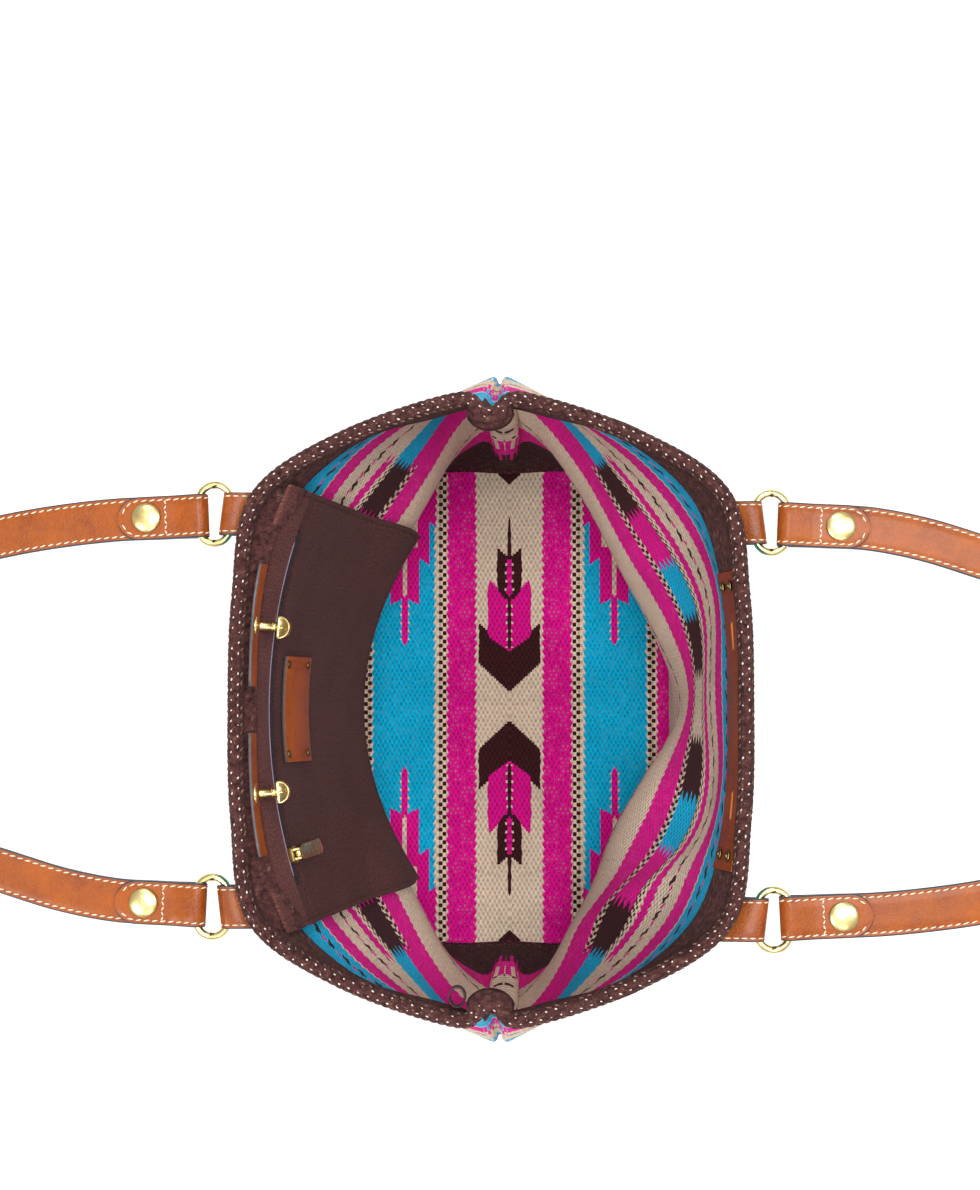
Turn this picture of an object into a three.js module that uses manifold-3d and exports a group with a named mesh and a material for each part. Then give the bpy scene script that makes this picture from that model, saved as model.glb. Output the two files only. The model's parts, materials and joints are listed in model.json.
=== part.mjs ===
// An open woven tote bag with two leather handles, standing on its floor.
// Millimetres, +Z up. X runs across the mouth, from the pocket side to the strip side.
// Y runs along the mouth, from one side seam to the other. The origin is under the floor's middle.
import * as THREE from 'three';
import { mergeVertices } from 'three/addons/utils/BufferGeometryUtils.js';
import Module from 'manifold-3d';

const wasm = await Module();
wasm.setup();

// The bag's body
const BAG_HEIGHT = 300;
const MOUTH_WIDTH = 264;
const MOUTH_LENGTH = 318;
const BELLY_WIDTH = 242;
const BELLY_LENGTH = 360;
const WAIST_WIDTH = 218;
const WAIST_LENGTH = 350;
const FLOOR_WIDTH = 208;
const FLOOR_LENGTH = 312;
const BELLY_DROP = 100;
const WAIST_HEIGHT = 105;
const WAIST_NOTCH = 3;
const BELLY_NOTCH = 4;
const MOUTH_NOTCH = 7;
const CLOTH = 3;
const SEAM_RIDGE = 8;
const SEAM_BUNDLE = 15;
const SEAM_WIDTH = 16;

// The folded hem inside the mouth, and the rolled edge on top of it
const HEM_DROP = 38;
const HEM_TOP = 4;
const HEM_FOOT = 6;
const ROLL_WIDTH = 10;
const ROLL_HEIGHT = 9;

// Leather and the gaps between neighbours
const GAP = 0.3;
const SEAT = 0.8;
const PANEL_CLEARANCE = 2;
const LEATHER = 2.2;
const STRAP_LEATHER = 2.6;
const STRAP_WIDTH = 22.5;
const TAB_WIDTH = 22;
const TAB_LENGTH = 50;

// Rings
const RING_SPACING = 202;
const RING_LENGTH = 34;
const RING_WIDTH = 20;
const RING_CORNER = 7;
const RING_WIRE = 3.75;
const RING_DROP = 28;
const RING_HEIGHT = BAG_HEIGHT - RING_DROP;
const RING_STAND_OFF = 3.2;

// Handles
const HANDLE_REACH = 245;
const HANDLE_FOLD = 42;
const TWIST_START = 112;
const TWIST_END = 222;
const CAP_DIAMETER = 15;
const CAP_DOME = 2.4;
const CAP_DISTANCE = 27;
const SHANK_DIAMETER = 4;
const WRAP_GAP = 0.6;
const WRAP_RUN = 13;

// One leg of a handle in plan: distance out from its ring, and how far it has drawn in
const LEG = [[0, 1], [20, 1.9], [42, 2.9], [70, 7], [100, 14], [150, 28], [195, 46], [226, 68],
  [241, 87]];

// The zip pocket, hanging from the hem at -X
const POCKET_DROP = 11;
const POCKET_DEPTH = 194;
const POCKET_TOP = BAG_HEIGHT - POCKET_DROP;
const POCKET_FOOT = POCKET_TOP - POCKET_DEPTH;
const POCKET_THICKNESS = 2.8;
const POCKET_TOP_HALF = 115;
const POCKET_FOOT_HALF = 102;
const POCKET_FOOT_OUT = 83;
const POCKET_TOP_BOW = 20;
const POCKET_FOOT_BOW = 34;
const ZIP_DROP = 34;
const ZIP_HEIGHT = POCKET_TOP - ZIP_DROP;
const ZIP_HALF_LENGTH = 92;
const ZIP_WIDTH = 6;
const ZIP_DEPTH = 1.4;
const SLIDER_PLACE = -77;
const SLIDER_LENGTH = 9;
const PULL_LENGTH = 30;
const PULL_WIDTH = 8;
const PATCH_LENGTH = 56;
const PATCH_HEIGHT = 38;
const PATCH_DROP = 33;
const PATCH_MIDDLE = ZIP_HEIGHT - PATCH_DROP;

// The turning toggles at -X and the slit strip at +X
const TOGGLE_SPACING = 86;
const TOGGLE_DROP = 22;
const TOGGLE_HEIGHT = BAG_HEIGHT - TOGGLE_DROP;
const PLATE_LENGTH = 62;
const PLATE_HEIGHT = 27;
const PLATE_DROP = 10;
const PLATE_TOP = BAG_HEIGHT - PLATE_DROP;
const PLATE_FOOT = PLATE_TOP - PLATE_HEIGHT;
const BASE_DIAMETER = 14.5;
const BASE_EDGE = 0.9;
const BASE_CROWN = 1.6;
const BASE_CHAMFER = 1;
const COLLAR_FOOT = 1.8;
const COLLAR_TOP = 2.8;
const POST_DIAMETER = 5;
const POST_LENGTH = 9;
const HEAD_WIDTH = 11.7;
const HEAD_LENGTH = 7.5;
const HEAD_THICKNESS = 2.6;
const STRIP_LENGTH = 151;
const SLIT_LENGTH = 14.5;
const SLIT_WIDTH = 3.6;
const EYELET_DIAMETER = 6;
const STRIP_MARGIN = 7;

// Each side's fittings stand off the middle, and its handle leans along Y
const LEFT_SHIFT = -1;
const RIGHT_SHIFT = -6.5;
const LEFT_SKEW = 3.6;
const RIGHT_SKEW = -4.4;
const SIDES = [
  { name: 'left', sign: -1, shift: LEFT_SHIFT, skew: LEFT_SKEW },
  { name: 'right', sign: 1, shift: RIGHT_SHIFT, skew: RIGHT_SKEW },
];

// Small fittings of the pocket
const SLIDER_WIDTH = 7;
const SLIDER_PLATE = 2.7;
const EAR = 1.2;
const EAR_HALF = 1.6;
const PIN_RADIUS = 0.6;
const EYE_RADIUS = 1.6;
const EYE_WIDTH = 3;
const PULL_THICKNESS = 1.2;
const PATCH_LEATHER = 1.8;
const PATCH_MARGIN = 4;
const PATCH_RIVET = 4.4;
const PATCH_SHANK = 1.2;
const PATCH_DOME = 0.8;

// The hang loop at the seam of -Y
const LOOP_ASIDE = 9;
const LOOP_INSET = 13;
const LOOP_DROP = 20;
const LOOP_WIDTH = 7;
const LOOP_DEPTH = 9;
const LOOP_TALL = 8;
const LOOP_LEATHER = 1;

// How far a cutting tool reaches through a sheet
const HOLE_REACH = 24;

// How finely the body is divided, and how much of that crowds towards the seams
const AROUND = 60;
const CROWDING = 0.65;

const vec = (x, y, z) => new THREE.Vector3(x, y, z);
const mix = THREE.MathUtils.lerp;
const smooth = THREE.MathUtils.smoothstep;

// Materials
const finish = (color, roughness, metalness = 0) =>
  new THREE.MeshStandardMaterial({ color, roughness, metalness });
const WOOL = finish(0x0a9ec4, 0.9);
const TWILL = finish(0x482a28, 0.9);
const ZIP_TAPE = finish(0x8d7f92, 0.8);
const COGNAC = finish(0xb46428, 0.45);
const BROWN_LEATHER = finish(0x6e3219, 0.5);
const ANTIQUE_BRASS = finish(0xbeaa5a, 0.35, 1);

// A closed skin through rings of points, joined end to end or capped at both ends
function skin(rings, joined = false) {
  const count = rings[0].length;
  const points = rings.flat();
  const faces = [];
  const spans = joined ? rings.length : rings.length - 1;
  for (let row = 0; row < spans; row++) {
    const here = row * count;
    const next = ((row + 1) % rings.length) * count;
    for (let i = 0; i < count; i++) {
      const j = (i + 1) % count;
      faces.push([here + i, here + j, next + j], [here + i, next + j, next + i]);
    }
  }
  if (!joined) {
    addCap(points, faces, 0, count, true);
    addCap(points, faces, (rings.length - 1) * count, count, false);
  }
  return closedGeometry(points, faces);
}

function addCap(points, faces, start, count, first) {
  const centre = vec(0, 0, 0);
  for (let i = 0; i < count; i++) centre.addScaledVector(points[start + i], 1 / count);
  const middle = points.push(centre) - 1;
  for (let i = 0; i < count; i++) {
    const a = start + i;
    const b = start + ((i + 1) % count);
    faces.push(first ? [middle, b, a] : [middle, a, b]);
  }
}

// Faces are turned outwards where the rings ran the other way round
function closedGeometry(points, faces) {
  const cross = vec(0, 0, 0);
  let volume = 0;
  for (const [a, b, c] of faces) volume += points[a].dot(cross.crossVectors(points[b], points[c]));
  const order = volume < 0 ? faces.map(([a, b, c]) => [a, c, b]) : faces;
  const geometry = new THREE.BufferGeometry();
  geometry.setAttribute('position', new THREE.Float32BufferAttribute(points.flatMap((p) => p.toArray()), 3));
  geometry.setIndex(order.flat());
  return geometry;
}

// A slab between two grids of points
const slab = (front, back) => skin(front.map((row, i) => [...row, ...[...back[i]].reverse()]));

function solid(geometry) {
  const bare = geometry.clone();
  bare.deleteAttribute('normal');
  bare.deleteAttribute('uv');
  const merged = mergeVertices(bare, 1e-3);
  return new wasm.Manifold(new wasm.Mesh({
    numProp: 3,
    vertProperties: new Float32Array(merged.attributes.position.array),
    triVerts: new Uint32Array(merged.index.array),
  }));
}

function fromSolid(body) {
  const mesh = body.getMesh();
  const geometry = new THREE.BufferGeometry();
  geometry.setAttribute('position', new THREE.BufferAttribute(new Float32Array(mesh.vertProperties), 3));
  geometry.setIndex(new THREE.BufferAttribute(new Uint32Array(mesh.triVerts), 1));
  return geometry;
}

const cut = (geometry, ...tools) =>
  fromSolid(tools.reduce((rest, tool) => rest.subtract(solid(tool)), solid(geometry)));
const join = (...geometries) =>
  fromSolid(geometries.slice(1).reduce((whole, more) => whole.add(solid(more)), solid(geometries[0])));

function piece(name, geometry, material) {
  const mesh = new THREE.Mesh(geometry, material);
  mesh.name = name;
  return mesh;
}

// A round piece turned about its own Y, from its closed profile of radius and height
const turned = (profile, segments = 16) =>
  new THREE.LatheGeometry(profile.map(([r, h]) => new THREE.Vector2(r, h)), segments);

// Stands a piece made along +Y at a place, pointing along a direction
function stand(mesh, place, direction) {
  mesh.quaternion.setFromUnitVectors(vec(0, 1, 0), direction);
  mesh.position.copy(place);
  return mesh;
}

// Half of one end of a section, from the side seam to the middle of a wall. Each shoulder gives its
// share of half the width and how far in from the end it lies, as a share of the length. A low
// flank leaves the side pointed.
function outline(width, length, notch, shoulders, flank = 0.85) {
  const end = length / 2;
  const side = width / 2;
  const bend = shoulders.map(([across, inward]) => [across * side, end - inward * length]);
  const [lastX, lastY] = bend[bend.length - 1];
  return [[0, end - notch], ...bend, [mix(lastX, side, flank), lastY * 0.52], [side, 0]];
}

const BELLY_HEIGHT = BAG_HEIGHT - BELLY_DROP;
const SECTIONS = [
  { z: 0, half: outline(FLOOR_WIDTH, FLOOR_LENGTH, 0, [[0.385, 0], [0.75, 0.045], [0.942, 0.199]]) },
  { z: WAIST_HEIGHT,
    half: outline(WAIST_WIDTH, WAIST_LENGTH, WAIST_NOTCH, [[0.083, 0], [0.303, 0.0714], [0.633, 0.2514]], 0.62) },
  { z: BELLY_HEIGHT,
    half: outline(BELLY_WIDTH, BELLY_LENGTH, BELLY_NOTCH, [[0.066, 0], [0.347, 0.0472], [0.727, 0.1833]]) },
  { z: BAG_HEIGHT,
    half: outline(MOUTH_WIDTH, MOUTH_LENGTH, MOUTH_NOTCH, [[0.129, 0], [0.583, 0.0629], [0.917, 0.1604]]) },
];

// A smooth value between the sections' values
function between(values, z) {
  const at = SECTIONS.map((section) => section.z);
  let i = 0;
  while (i < at.length - 2 && z > at[i + 1]) i++;
  const span = at[i + 1] - at[i];
  const t = (z - at[i]) / span;
  const slope = (k) => {
    const low = Math.max(k - 1, 0);
    const high = Math.min(k + 1, at.length - 1);
    return (values[high] - values[low]) / (at[high] - at[low]);
  };
  const rise = values[i + 1] - values[i];
  const lead = slope(i) * span - rise;
  const trail = rise - slope(i + 1) * span;
  return values[i] + rise * t + t * (1 - t) * (lead * (1 - t) + trail * t);
}

// The outline at one height, from the seam at +Y. The points crowd towards both seams.
const outlines = new Map();
function outlineAt(z) {
  if (outlines.has(z)) return outlines.get(z);
  const quarter = SECTIONS[0].half.map((_, k) => [0, 1].map((axis) =>
    between(SECTIONS.map((section) => section.half[k][axis]), z)));
  const lower = quarter.slice(0, -1).reverse().map(([x, y]) => [x, -y]);
  const right = [...quarter, ...lower];
  const left = right.slice(1, -1).reverse().map(([x, y]) => [-x, y]);
  const points = [...right, ...left].map(([x, y]) => vec(x, y, z));
  const curve = new THREE.CatmullRomCurve3(points, true, 'catmullrom', 0.5);
  curve.arcLengthDivisions = 800;
  const ring = Array.from({ length: AROUND }, (_, i) => {
    const u = i / AROUND;
    return curve.getPointAt(u - CROWDING * Math.sin(4 * Math.PI * u) / (4 * Math.PI));
  });
  outlines.set(z, ring);
  return ring;
}

// The outline at one height moved inwards, by a distance that may depend on the point
function inset(z, distance, height = z) {
  const ring = outlineAt(z);
  return ring.map((point, i) => {
    const before = ring[(i + AROUND - 1) % AROUND];
    const after = ring[(i + 1) % AROUND];
    const inward = vec(after.y - before.y, before.x - after.x, 0).normalize();
    const by = typeof distance === 'function' ? distance(point) : distance;
    return point.clone().addScaledVector(inward, by).setZ(height);
  });
}

// Where the outline, moved in by a distance, crosses a given y on one side
function wallX(sign, y, z, distance) {
  const ring = inset(z, distance).filter((point) => point.x * sign > 0);
  ring.sort((a, b) => a.y - b.y);
  const above = ring.findIndex((point) => point.y >= y);
  const [a, b] = [ring[above - 1], ring[above]];
  return mix(a.x, b.x, (y - a.y) / (b.y - a.y));
}

// The seam's allowance stands inside as a ridge at each end, and as a thick bundle in the hem
const ridge = (x) => Math.exp(-((2 * x / SEAM_WIDTH) ** 4));
function lining(z, base) {
  const low = SEAM_RIDGE * smooth(z, CLOTH, WAIST_HEIGHT / 2);
  const deep = Math.max(base, mix(low, SEAM_BUNDLE, smooth(z, BELLY_HEIGHT, BAG_HEIGHT)));
  return (point) => mix(base, deep, ridge(point.x));
}

const HEM_FOOT_Z = BAG_HEIGHT - HEM_DROP;
const ROLL_FOOT_Z = BAG_HEIGHT - ROLL_HEIGHT;
const hemDepth = (z) => mix(HEM_FOOT, HEM_TOP, (z - HEM_FOOT_Z) / (ROLL_FOOT_Z - HEM_FOOT_Z));

// One folded cloth: floor, walls, the hem folded inside and the rolled edge
function wovenBody() {
  const steps = (from, to, count) => Array.from({ length: count }, (_, i) => mix(from, to, i / (count - 1)));
  const floor = (z, distance) => [0.3, 0.6, 0.85].map((share) =>
    inset(0, distance, z).map((p) => vec(p.x * share, p.y * share, z)));
  const walls = steps(4 * CLOTH, HEM_FOOT_Z - 2 * CLOTH, 9);
  const roll = steps(0.08, 0.92, 6).map((turn) => {
    const depth = ROLL_WIDTH / 2 * (1 + Math.cos(Math.PI * turn));
    const height = ROLL_FOOT_Z + ROLL_HEIGHT * Math.sin(Math.PI * turn);
    const bundle = SEAM_BUNDLE / ROLL_WIDTH;
    return inset(BAG_HEIGHT, (point) => depth * mix(1, bundle, ridge(point.x)), height);
  });
  const outside = [...steps(ROLL_FOOT_Z, HEM_FOOT_Z, 3).slice(0, -1), ...[...walls].reverse()];
  return skin([
    ...floor(CLOTH, CLOTH),
    inset(0, CLOTH, CLOTH),
    ...walls.map((z) => inset(z, lining(z, CLOTH))),
    inset(HEM_FOOT_Z - 1, lining(HEM_FOOT_Z, CLOTH)),
    inset(HEM_FOOT_Z, lining(HEM_FOOT_Z, HEM_FOOT)),
    inset(ROLL_FOOT_Z - 1, lining(ROLL_FOOT_Z, HEM_TOP)),
    ...roll,
    ...outside.map((z) => inset(z, 0)),
    inset(CLOTH, 0),
    inset(0, CLOTH / 2, 0),
    ...floor(0, CLOTH / 2).reverse(),
  ]);
}

// The pocket's panel hangs from the hem and leans into the bag. In plan it is a bow.
const pocketShare = (z) => (POCKET_TOP - z) / (POCKET_TOP - POCKET_FOOT);
const pocketHalf = (z) => mix(POCKET_TOP_HALF, POCKET_FOOT_HALF, pocketShare(z));
const pocketBow = (z) => mix(POCKET_TOP_BOW, POCKET_FOOT_BOW, pocketShare(z));
const hemFace = (sign, y, z) => wallX(sign, y, z, hemDepth(z)) - sign * SEAT;
const POCKET_TOP_X = hemFace(-1, 0, POCKET_TOP);

function pocketX(y, z, lift) {
  const power = 2 + smooth(z, ZIP_HEIGHT, POCKET_TOP);
  const foot = -POCKET_FOOT_OUT - POCKET_THICKNESS;
  const back = mix(POCKET_TOP_X, foot, pocketShare(z))
    + pocketBow(z) * Math.abs(y / pocketHalf(z)) ** power;
  const wall = z > HEM_FOOT_Z ? hemFace(-1, y, z) : wallX(-1, y, z, CLOTH + PANEL_CLEARANCE);
  return Math.max(back, wall) + POCKET_THICKNESS + lift;
}

// The strip's back face follows the hem at +X
const stripX = (y, z, lift) => hemFace(1, y, z) - lift;

// The way out of a face that is given as x over y and z
function faceNormal(face, y, z) {
  const step = 1;
  const alongY = (face(y + step, z, 0) - face(y - step, z, 0)) / (2 * step);
  const alongZ = (face(y, z + step, 0) - face(y, z - step, 0)) / (2 * step);
  const outward = Math.sign(face(y, z, 1) - face(y, z, 0));
  return vec(1, -alongY, -alongZ).normalize().multiplyScalar(outward);
}

// A slab that follows a face, between two lifts from it
function faceSlab(face, [low, high], [foot, top], [from, to], columns, rows) {
  const limit = (value, z) => (typeof value === 'function' ? value(z) : value);
  const grid = (lift) => Array.from({ length: columns + 1 }, (_, i) =>
    Array.from({ length: rows + 1 }, (__, j) => {
      const z = mix(foot, top, j / rows);
      const y = mix(limit(low, z), limit(high, z), i / columns);
      return vec(face(y, z, lift), y, z);
    }));
  return slab(grid(to), grid(from));
}

const onFace = (face, y, z, lift) =>
  vec(face(y, z, 0), y, z).addScaledVector(faceNormal(face, y, z), lift);

// A round hole through a face
function faceHole(face, y, z, radius) {
  const tool = new THREE.Mesh(new THREE.CylinderGeometry(radius, radius, HOLE_REACH, 12));
  stand(tool, onFace(face, y, z, 0), faceNormal(face, y, z)).updateMatrix();
  return tool.geometry.applyMatrix4(tool.matrix);
}

function pocket() {
  const sheet = faceSlab(pocketX, [(z) => -pocketHalf(z), pocketHalf], [POCKET_FOOT, POCKET_TOP],
    [-POCKET_THICKNESS, 0], 20, 8);
  const half = ZIP_WIDTH / 2;
  const groove = faceSlab(pocketX, [-ZIP_HALF_LENGTH, ZIP_HALF_LENGTH],
    [ZIP_HEIGHT - half, ZIP_HEIGHT + half], [-ZIP_DEPTH, ZIP_DEPTH], 12, 1);
  return piece('pocket', cut(sheet, groove), TWILL);
}

function zipTapes() {
  const end = ZIP_HALF_LENGTH - GAP;
  const near = GAP / 2;
  const far = ZIP_WIDTH / 2 - GAP;
  const tape = (foot, top) =>
    faceSlab(pocketX, [-end, end], [ZIP_HEIGHT + foot, ZIP_HEIGHT + top], [GAP - ZIP_DEPTH, 0], 12, 1);
  return [
    piece('zip_tape_upper', tape(near, far), ZIP_TAPE),
    piece('zip_tape_lower', tape(-far, -near), ZIP_TAPE),
  ];
}

// Stands a mesh on the panel's face: its X runs along the zip, its Y up the panel, its Z out of it
function onPanel(mesh, y, z, lift) {
  const out = faceNormal(pocketX, y, z);
  const along = vec(-out.y, out.x, 0).normalize();
  mesh.matrix.makeBasis(along, out.clone().cross(along), out).setPosition(onFace(pocketX, y, z, lift));
  mesh.matrix.decompose(mesh.position, mesh.quaternion, mesh.scale);
  return mesh;
}

function plate(shape, thickness, from = 0) {
  const geometry = new THREE.ExtrudeGeometry(shape, { depth: thickness, bevelEnabled: false, curveSegments: 3 });
  return geometry.translate(0, 0, from);
}

function roundedRectangle(width, height, radius) {
  const shape = new THREE.Shape();
  const [w, h] = [width / 2, height / 2];
  shape.absarc(w - radius, h - radius, radius, 0, Math.PI / 2);
  shape.absarc(radius - w, h - radius, radius, Math.PI / 2, Math.PI);
  shape.absarc(radius - w, radius - h, radius, Math.PI, 1.5 * Math.PI);
  shape.absarc(w - radius, radius - h, radius, 1.5 * Math.PI, 2 * Math.PI);
  return shape;
}

// A rod along X, centred on the origin
const rod = (radius, length) => new THREE.CylinderGeometry(radius, radius, length, 12).rotateZ(Math.PI / 2);

const PIN_HEIGHT = SLIDER_PLATE + GAP + EYE_RADIUS;
function zipSlider() {
  const ear = (x) => new THREE.BoxGeometry(EAR, 2 * EAR_HALF, PIN_HEIGHT + EYE_RADIUS)
    .translate(x, 0, (PIN_HEIGHT + EYE_RADIUS) / 2);
  const out = EYE_WIDTH / 2 + GAP + EAR / 2;
  const shell = plate(roundedRectangle(SLIDER_LENGTH, SLIDER_WIDTH, SLIDER_WIDTH / 3), SLIDER_PLATE);
  const pin = rod(PIN_RADIUS, 2 * out).translate(0, 0, PIN_HEIGHT);
  const mesh = piece('zip_slider', join(shell, ear(-out), ear(out), pin), ANTIQUE_BRASS);
  return onPanel(mesh, SLIDER_PLACE, ZIP_HEIGHT, GAP);
}

// The pull hangs down from the slider's pin, just clear of the patch's rivets
function zipPull() {
  const blade = plate(roundedRectangle(PULL_WIDTH, PULL_LENGTH, PULL_WIDTH / 3), PULL_THICKNESS,
    -PULL_THICKNESS / 2).translate(0, -PULL_LENGTH / 2 - EYE_RADIUS * 2.2, 0);
  const neck = new THREE.BoxGeometry(EYE_WIDTH, EYE_RADIUS * 2.6, PULL_THICKNESS)
    .translate(0, -EYE_RADIUS * 1.7, 0);
  const whole = join(blade, neck, rod(EYE_RADIUS, EYE_WIDTH));
  const geometry = cut(whole, rod(PIN_RADIUS + GAP, EYE_WIDTH + 2 * GAP));
  return onPanel(piece('zip_pull', geometry, ANTIQUE_BRASS), SLIDER_PLACE, ZIP_HEIGHT, GAP + PIN_HEIGHT);
}

// A small domed rivet along +Y, with a shank below it
function rivet(name, headRadius, shankRadius, shankLength, dome) {
  const arc = [0, 0.35, 0.7, 1].map((t) => {
    const angle = t * Math.PI / 2;
    return [headRadius * Math.cos(angle), dome * Math.sin(angle)];
  });
  const profile = [[0, -shankLength], [shankRadius, -shankLength], [shankRadius, 0], ...arc.slice(0, -1), [0, dome]];
  return piece(name, turned(profile, 12), ANTIQUE_BRASS);
}

// A bare leather patch with a rivet in each corner
function patch() {
  const middle = SIDES[0].shift;
  const [low, high] = [middle - PATCH_LENGTH / 2, middle + PATCH_LENGTH / 2];
  const [foot, top] = [PATCH_MIDDLE - PATCH_HEIGHT / 2, PATCH_MIDDLE + PATCH_HEIGHT / 2];
  const corners = [low + PATCH_MARGIN, high - PATCH_MARGIN].flatMap((y) =>
    [foot + PATCH_MARGIN, top - PATCH_MARGIN].map((z) => [y, z]));
  const sheet = faceSlab(pocketX, [low, high], [foot, top], [SEAT, SEAT + PATCH_LEATHER], 8, 1);
  const holes = corners.map(([y, z]) => faceHole(pocketX, y, z, PATCH_SHANK + GAP));
  const rivets = corners.map(([y, z], i) =>
    stand(rivet(`patch_rivet_${i + 1}`, PATCH_RIVET / 2, PATCH_SHANK, PATCH_LEATHER, PATCH_DOME),
      onFace(pocketX, y, z, SEAT + GAP + PATCH_LEATHER), faceNormal(pocketX, y, z)));
  return [piece('pocket_patch', cut(sheet, ...holes), COGNAC), ...rivets];
}

// One turning toggle on its leather plate: the plate, the fixed base with its post, and the head
function toggle(index, name) {
  const y = SIDES[0].shift + (index ? -1 : 1) * TOGGLE_SPACING / 2;
  const z = TOGGLE_HEIGHT;
  const out = faceNormal(pocketX, y, z);
  const post = POST_DIAMETER / 2;
  const sheet = faceSlab(pocketX, [y - PLATE_LENGTH / 2, y + PLATE_LENGTH / 2], [PLATE_FOOT, PLATE_TOP],
    [SEAT, SEAT + LEATHER], 8, 2);
  const plateMesh = piece(`toggle_plate_${name}`, cut(sheet, faceHole(pocketX, y, z, post + GAP)), BROWN_LEATHER);
  const seat = onFace(pocketX, y, z, 2 * SEAT + LEATHER);
  const disc = BASE_DIAMETER / 2;
  const neck = post * 0.45;
  const base = piece(`toggle_base_${name}`, turned([[0, -LEATHER], [post, -LEATHER], [post, 0], [disc, 0],
    [disc, BASE_EDGE], [disc - BASE_CHAMFER, BASE_CROWN], [post + BASE_CHAMFER, COLLAR_FOOT], [post, COLLAR_TOP],
    [post, POST_LENGTH], [neck, POST_LENGTH], [neck, POST_LENGTH + HEAD_LENGTH / 2],
    [0, POST_LENGTH + HEAD_LENGTH / 2]]), ANTIQUE_BRASS);
  const head = new THREE.Shape();
  head.moveTo(-HEAD_WIDTH / 2, 0);
  head.lineTo(HEAD_WIDTH / 2, 0);
  head.bezierCurveTo(HEAD_WIDTH / 2, HEAD_LENGTH * 1.33, -HEAD_WIDTH / 2, HEAD_LENGTH * 1.33, -HEAD_WIDTH / 2, 0);
  const collar = new THREE.CylinderGeometry(post, post, HEAD_LENGTH * 0.6, 20).translate(0, HEAD_LENGTH * 0.3, 0);
  const bore = new THREE.CylinderGeometry(neck + GAP, neck + GAP, HEAD_LENGTH + 2 * GAP, 16);
  const turnedHead = cut(join(plate(head, HEAD_THICKNESS, -HEAD_THICKNESS / 2), collar), bore);
  const headMesh = piece(`toggle_${name}`, turnedHead, ANTIQUE_BRASS);
  return [plateMesh, stand(base, seat, out),
    stand(headMesh, seat.clone().addScaledVector(out, POST_LENGTH + GAP), out)];
}

// The strip with two slits that the toggles pass through, riveted to the hem at +X
function closureStrip() {
  const side = SIDES[1];
  const [low, high] = [side.shift - STRIP_LENGTH / 2, side.shift + STRIP_LENGTH / 2];
  const sheet = faceSlab(stripX, [low, high], [PLATE_FOOT, PLATE_TOP], [0, LEATHER], 12, 2);
  const slits = [1, -1].map((way) => {
    const y = side.shift + way * TOGGLE_SPACING / 2;
    return plate(roundedRectangle(SLIT_LENGTH, SLIT_WIDTH, SLIT_WIDTH / 2 - GAP), HOLE_REACH, -HOLE_REACH / 2)
      .rotateX(Math.PI / 2).rotateZ(Math.PI / 2).translate(stripX(y, TOGGLE_HEIGHT, 0), y, TOGGLE_HEIGHT);
  });
  const places = [low + STRIP_MARGIN, high - STRIP_MARGIN].flatMap((y) =>
    [PLATE_FOOT + STRIP_MARGIN, PLATE_TOP - STRIP_MARGIN].map((z) => [y, z]));
  const flange = EYELET_DIAMETER / 2;
  const [barrel, bore, rim] = [flange * 0.6, flange * 0.35, flange * 0.25];
  const holes = places.map(([y, z]) => faceHole(stripX, y, z, barrel + GAP));
  const profile = [[bore, -LEATHER], [barrel, -LEATHER], [barrel, 0], [flange, 0], [flange * 0.85, rim],
    [bore, rim], [bore, -LEATHER]];
  const eyelets = places.map(([y, z], i) =>
    stand(piece(`strip_eyelet_${i + 1}`, turned(profile, 12), ANTIQUE_BRASS),
      onFace(stripX, y, z, SEAT + LEATHER), faceNormal(stripX, y, z)));
  return [piece('closure_strip', cut(sheet, ...slits, ...holes), BROWN_LEATHER), ...eyelets];
}

// A thin leather hang loop beside the seam's bundle at -Y
function seamLoop() {
  const turns = 24;
  const middle = vec(-SEAM_WIDTH / 2 - LOOP_ASIDE, LOOP_INSET - MOUTH_LENGTH / 2, BAG_HEIGHT - LOOP_DROP);
  const ring = Array.from({ length: turns }, (_, i) => {
    const angle = 2 * Math.PI * i / turns;
    const at = (grow, z) => vec(middle.x + (LOOP_WIDTH / 2 + grow) * Math.cos(angle),
      middle.y + (LOOP_DEPTH / 2 + grow) * Math.sin(angle), z);
    const [foot, top] = [middle.z - LOOP_TALL / 2, middle.z + LOOP_TALL / 2];
    return [at(0, foot), at(LOOP_LEATHER, foot), at(LOOP_LEATHER, top), at(0, top)];
  });
  return piece('seam_loop', skin(ring, true), BROWN_LEATHER);
}

const BAR_X = MOUTH_WIDTH / 2 + RING_STAND_OFF;
const RING_SPAN = RING_WIDTH - RING_WIRE;
const sideY = (side, way) => side.shift + way * RING_SPACING / 2;

// An oval wire ring lying flat, its inner bar in the tab and its outer bar in the handle
function wireRing(name, side, way) {
  const shape = roundedRectangle(RING_SPAN, RING_LENGTH - RING_WIRE, RING_CORNER - RING_WIRE / 2);
  const path = shape.getPoints(2).filter((p, i, all) => !i || p.distanceTo(all[i - 1]) > 0.01);
  if (path[0].distanceTo(path[path.length - 1]) < 0.01) path.pop();
  const rings = path.map((point, i) => {
    const before = path[(i + path.length - 1) % path.length];
    const after = path[(i + 1) % path.length];
    const outward = vec(after.y - before.y, before.x - after.x, 0).normalize();
    return Array.from({ length: 8 }, (_, k) => {
      const angle = Math.PI * (k + 0.5) / 4;
      const radius = RING_WIRE / 2;
      return vec(point.x, point.y, radius * Math.sin(angle)).addScaledVector(outward, radius * Math.cos(angle));
    });
  });
  const mesh = piece(name, skin(rings, true), ANTIQUE_BRASS);
  mesh.position.set(side.sign * (BAR_X + RING_SPAN / 2), sideY(side, way), RING_HEIGHT);
  return mesh;
}

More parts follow.
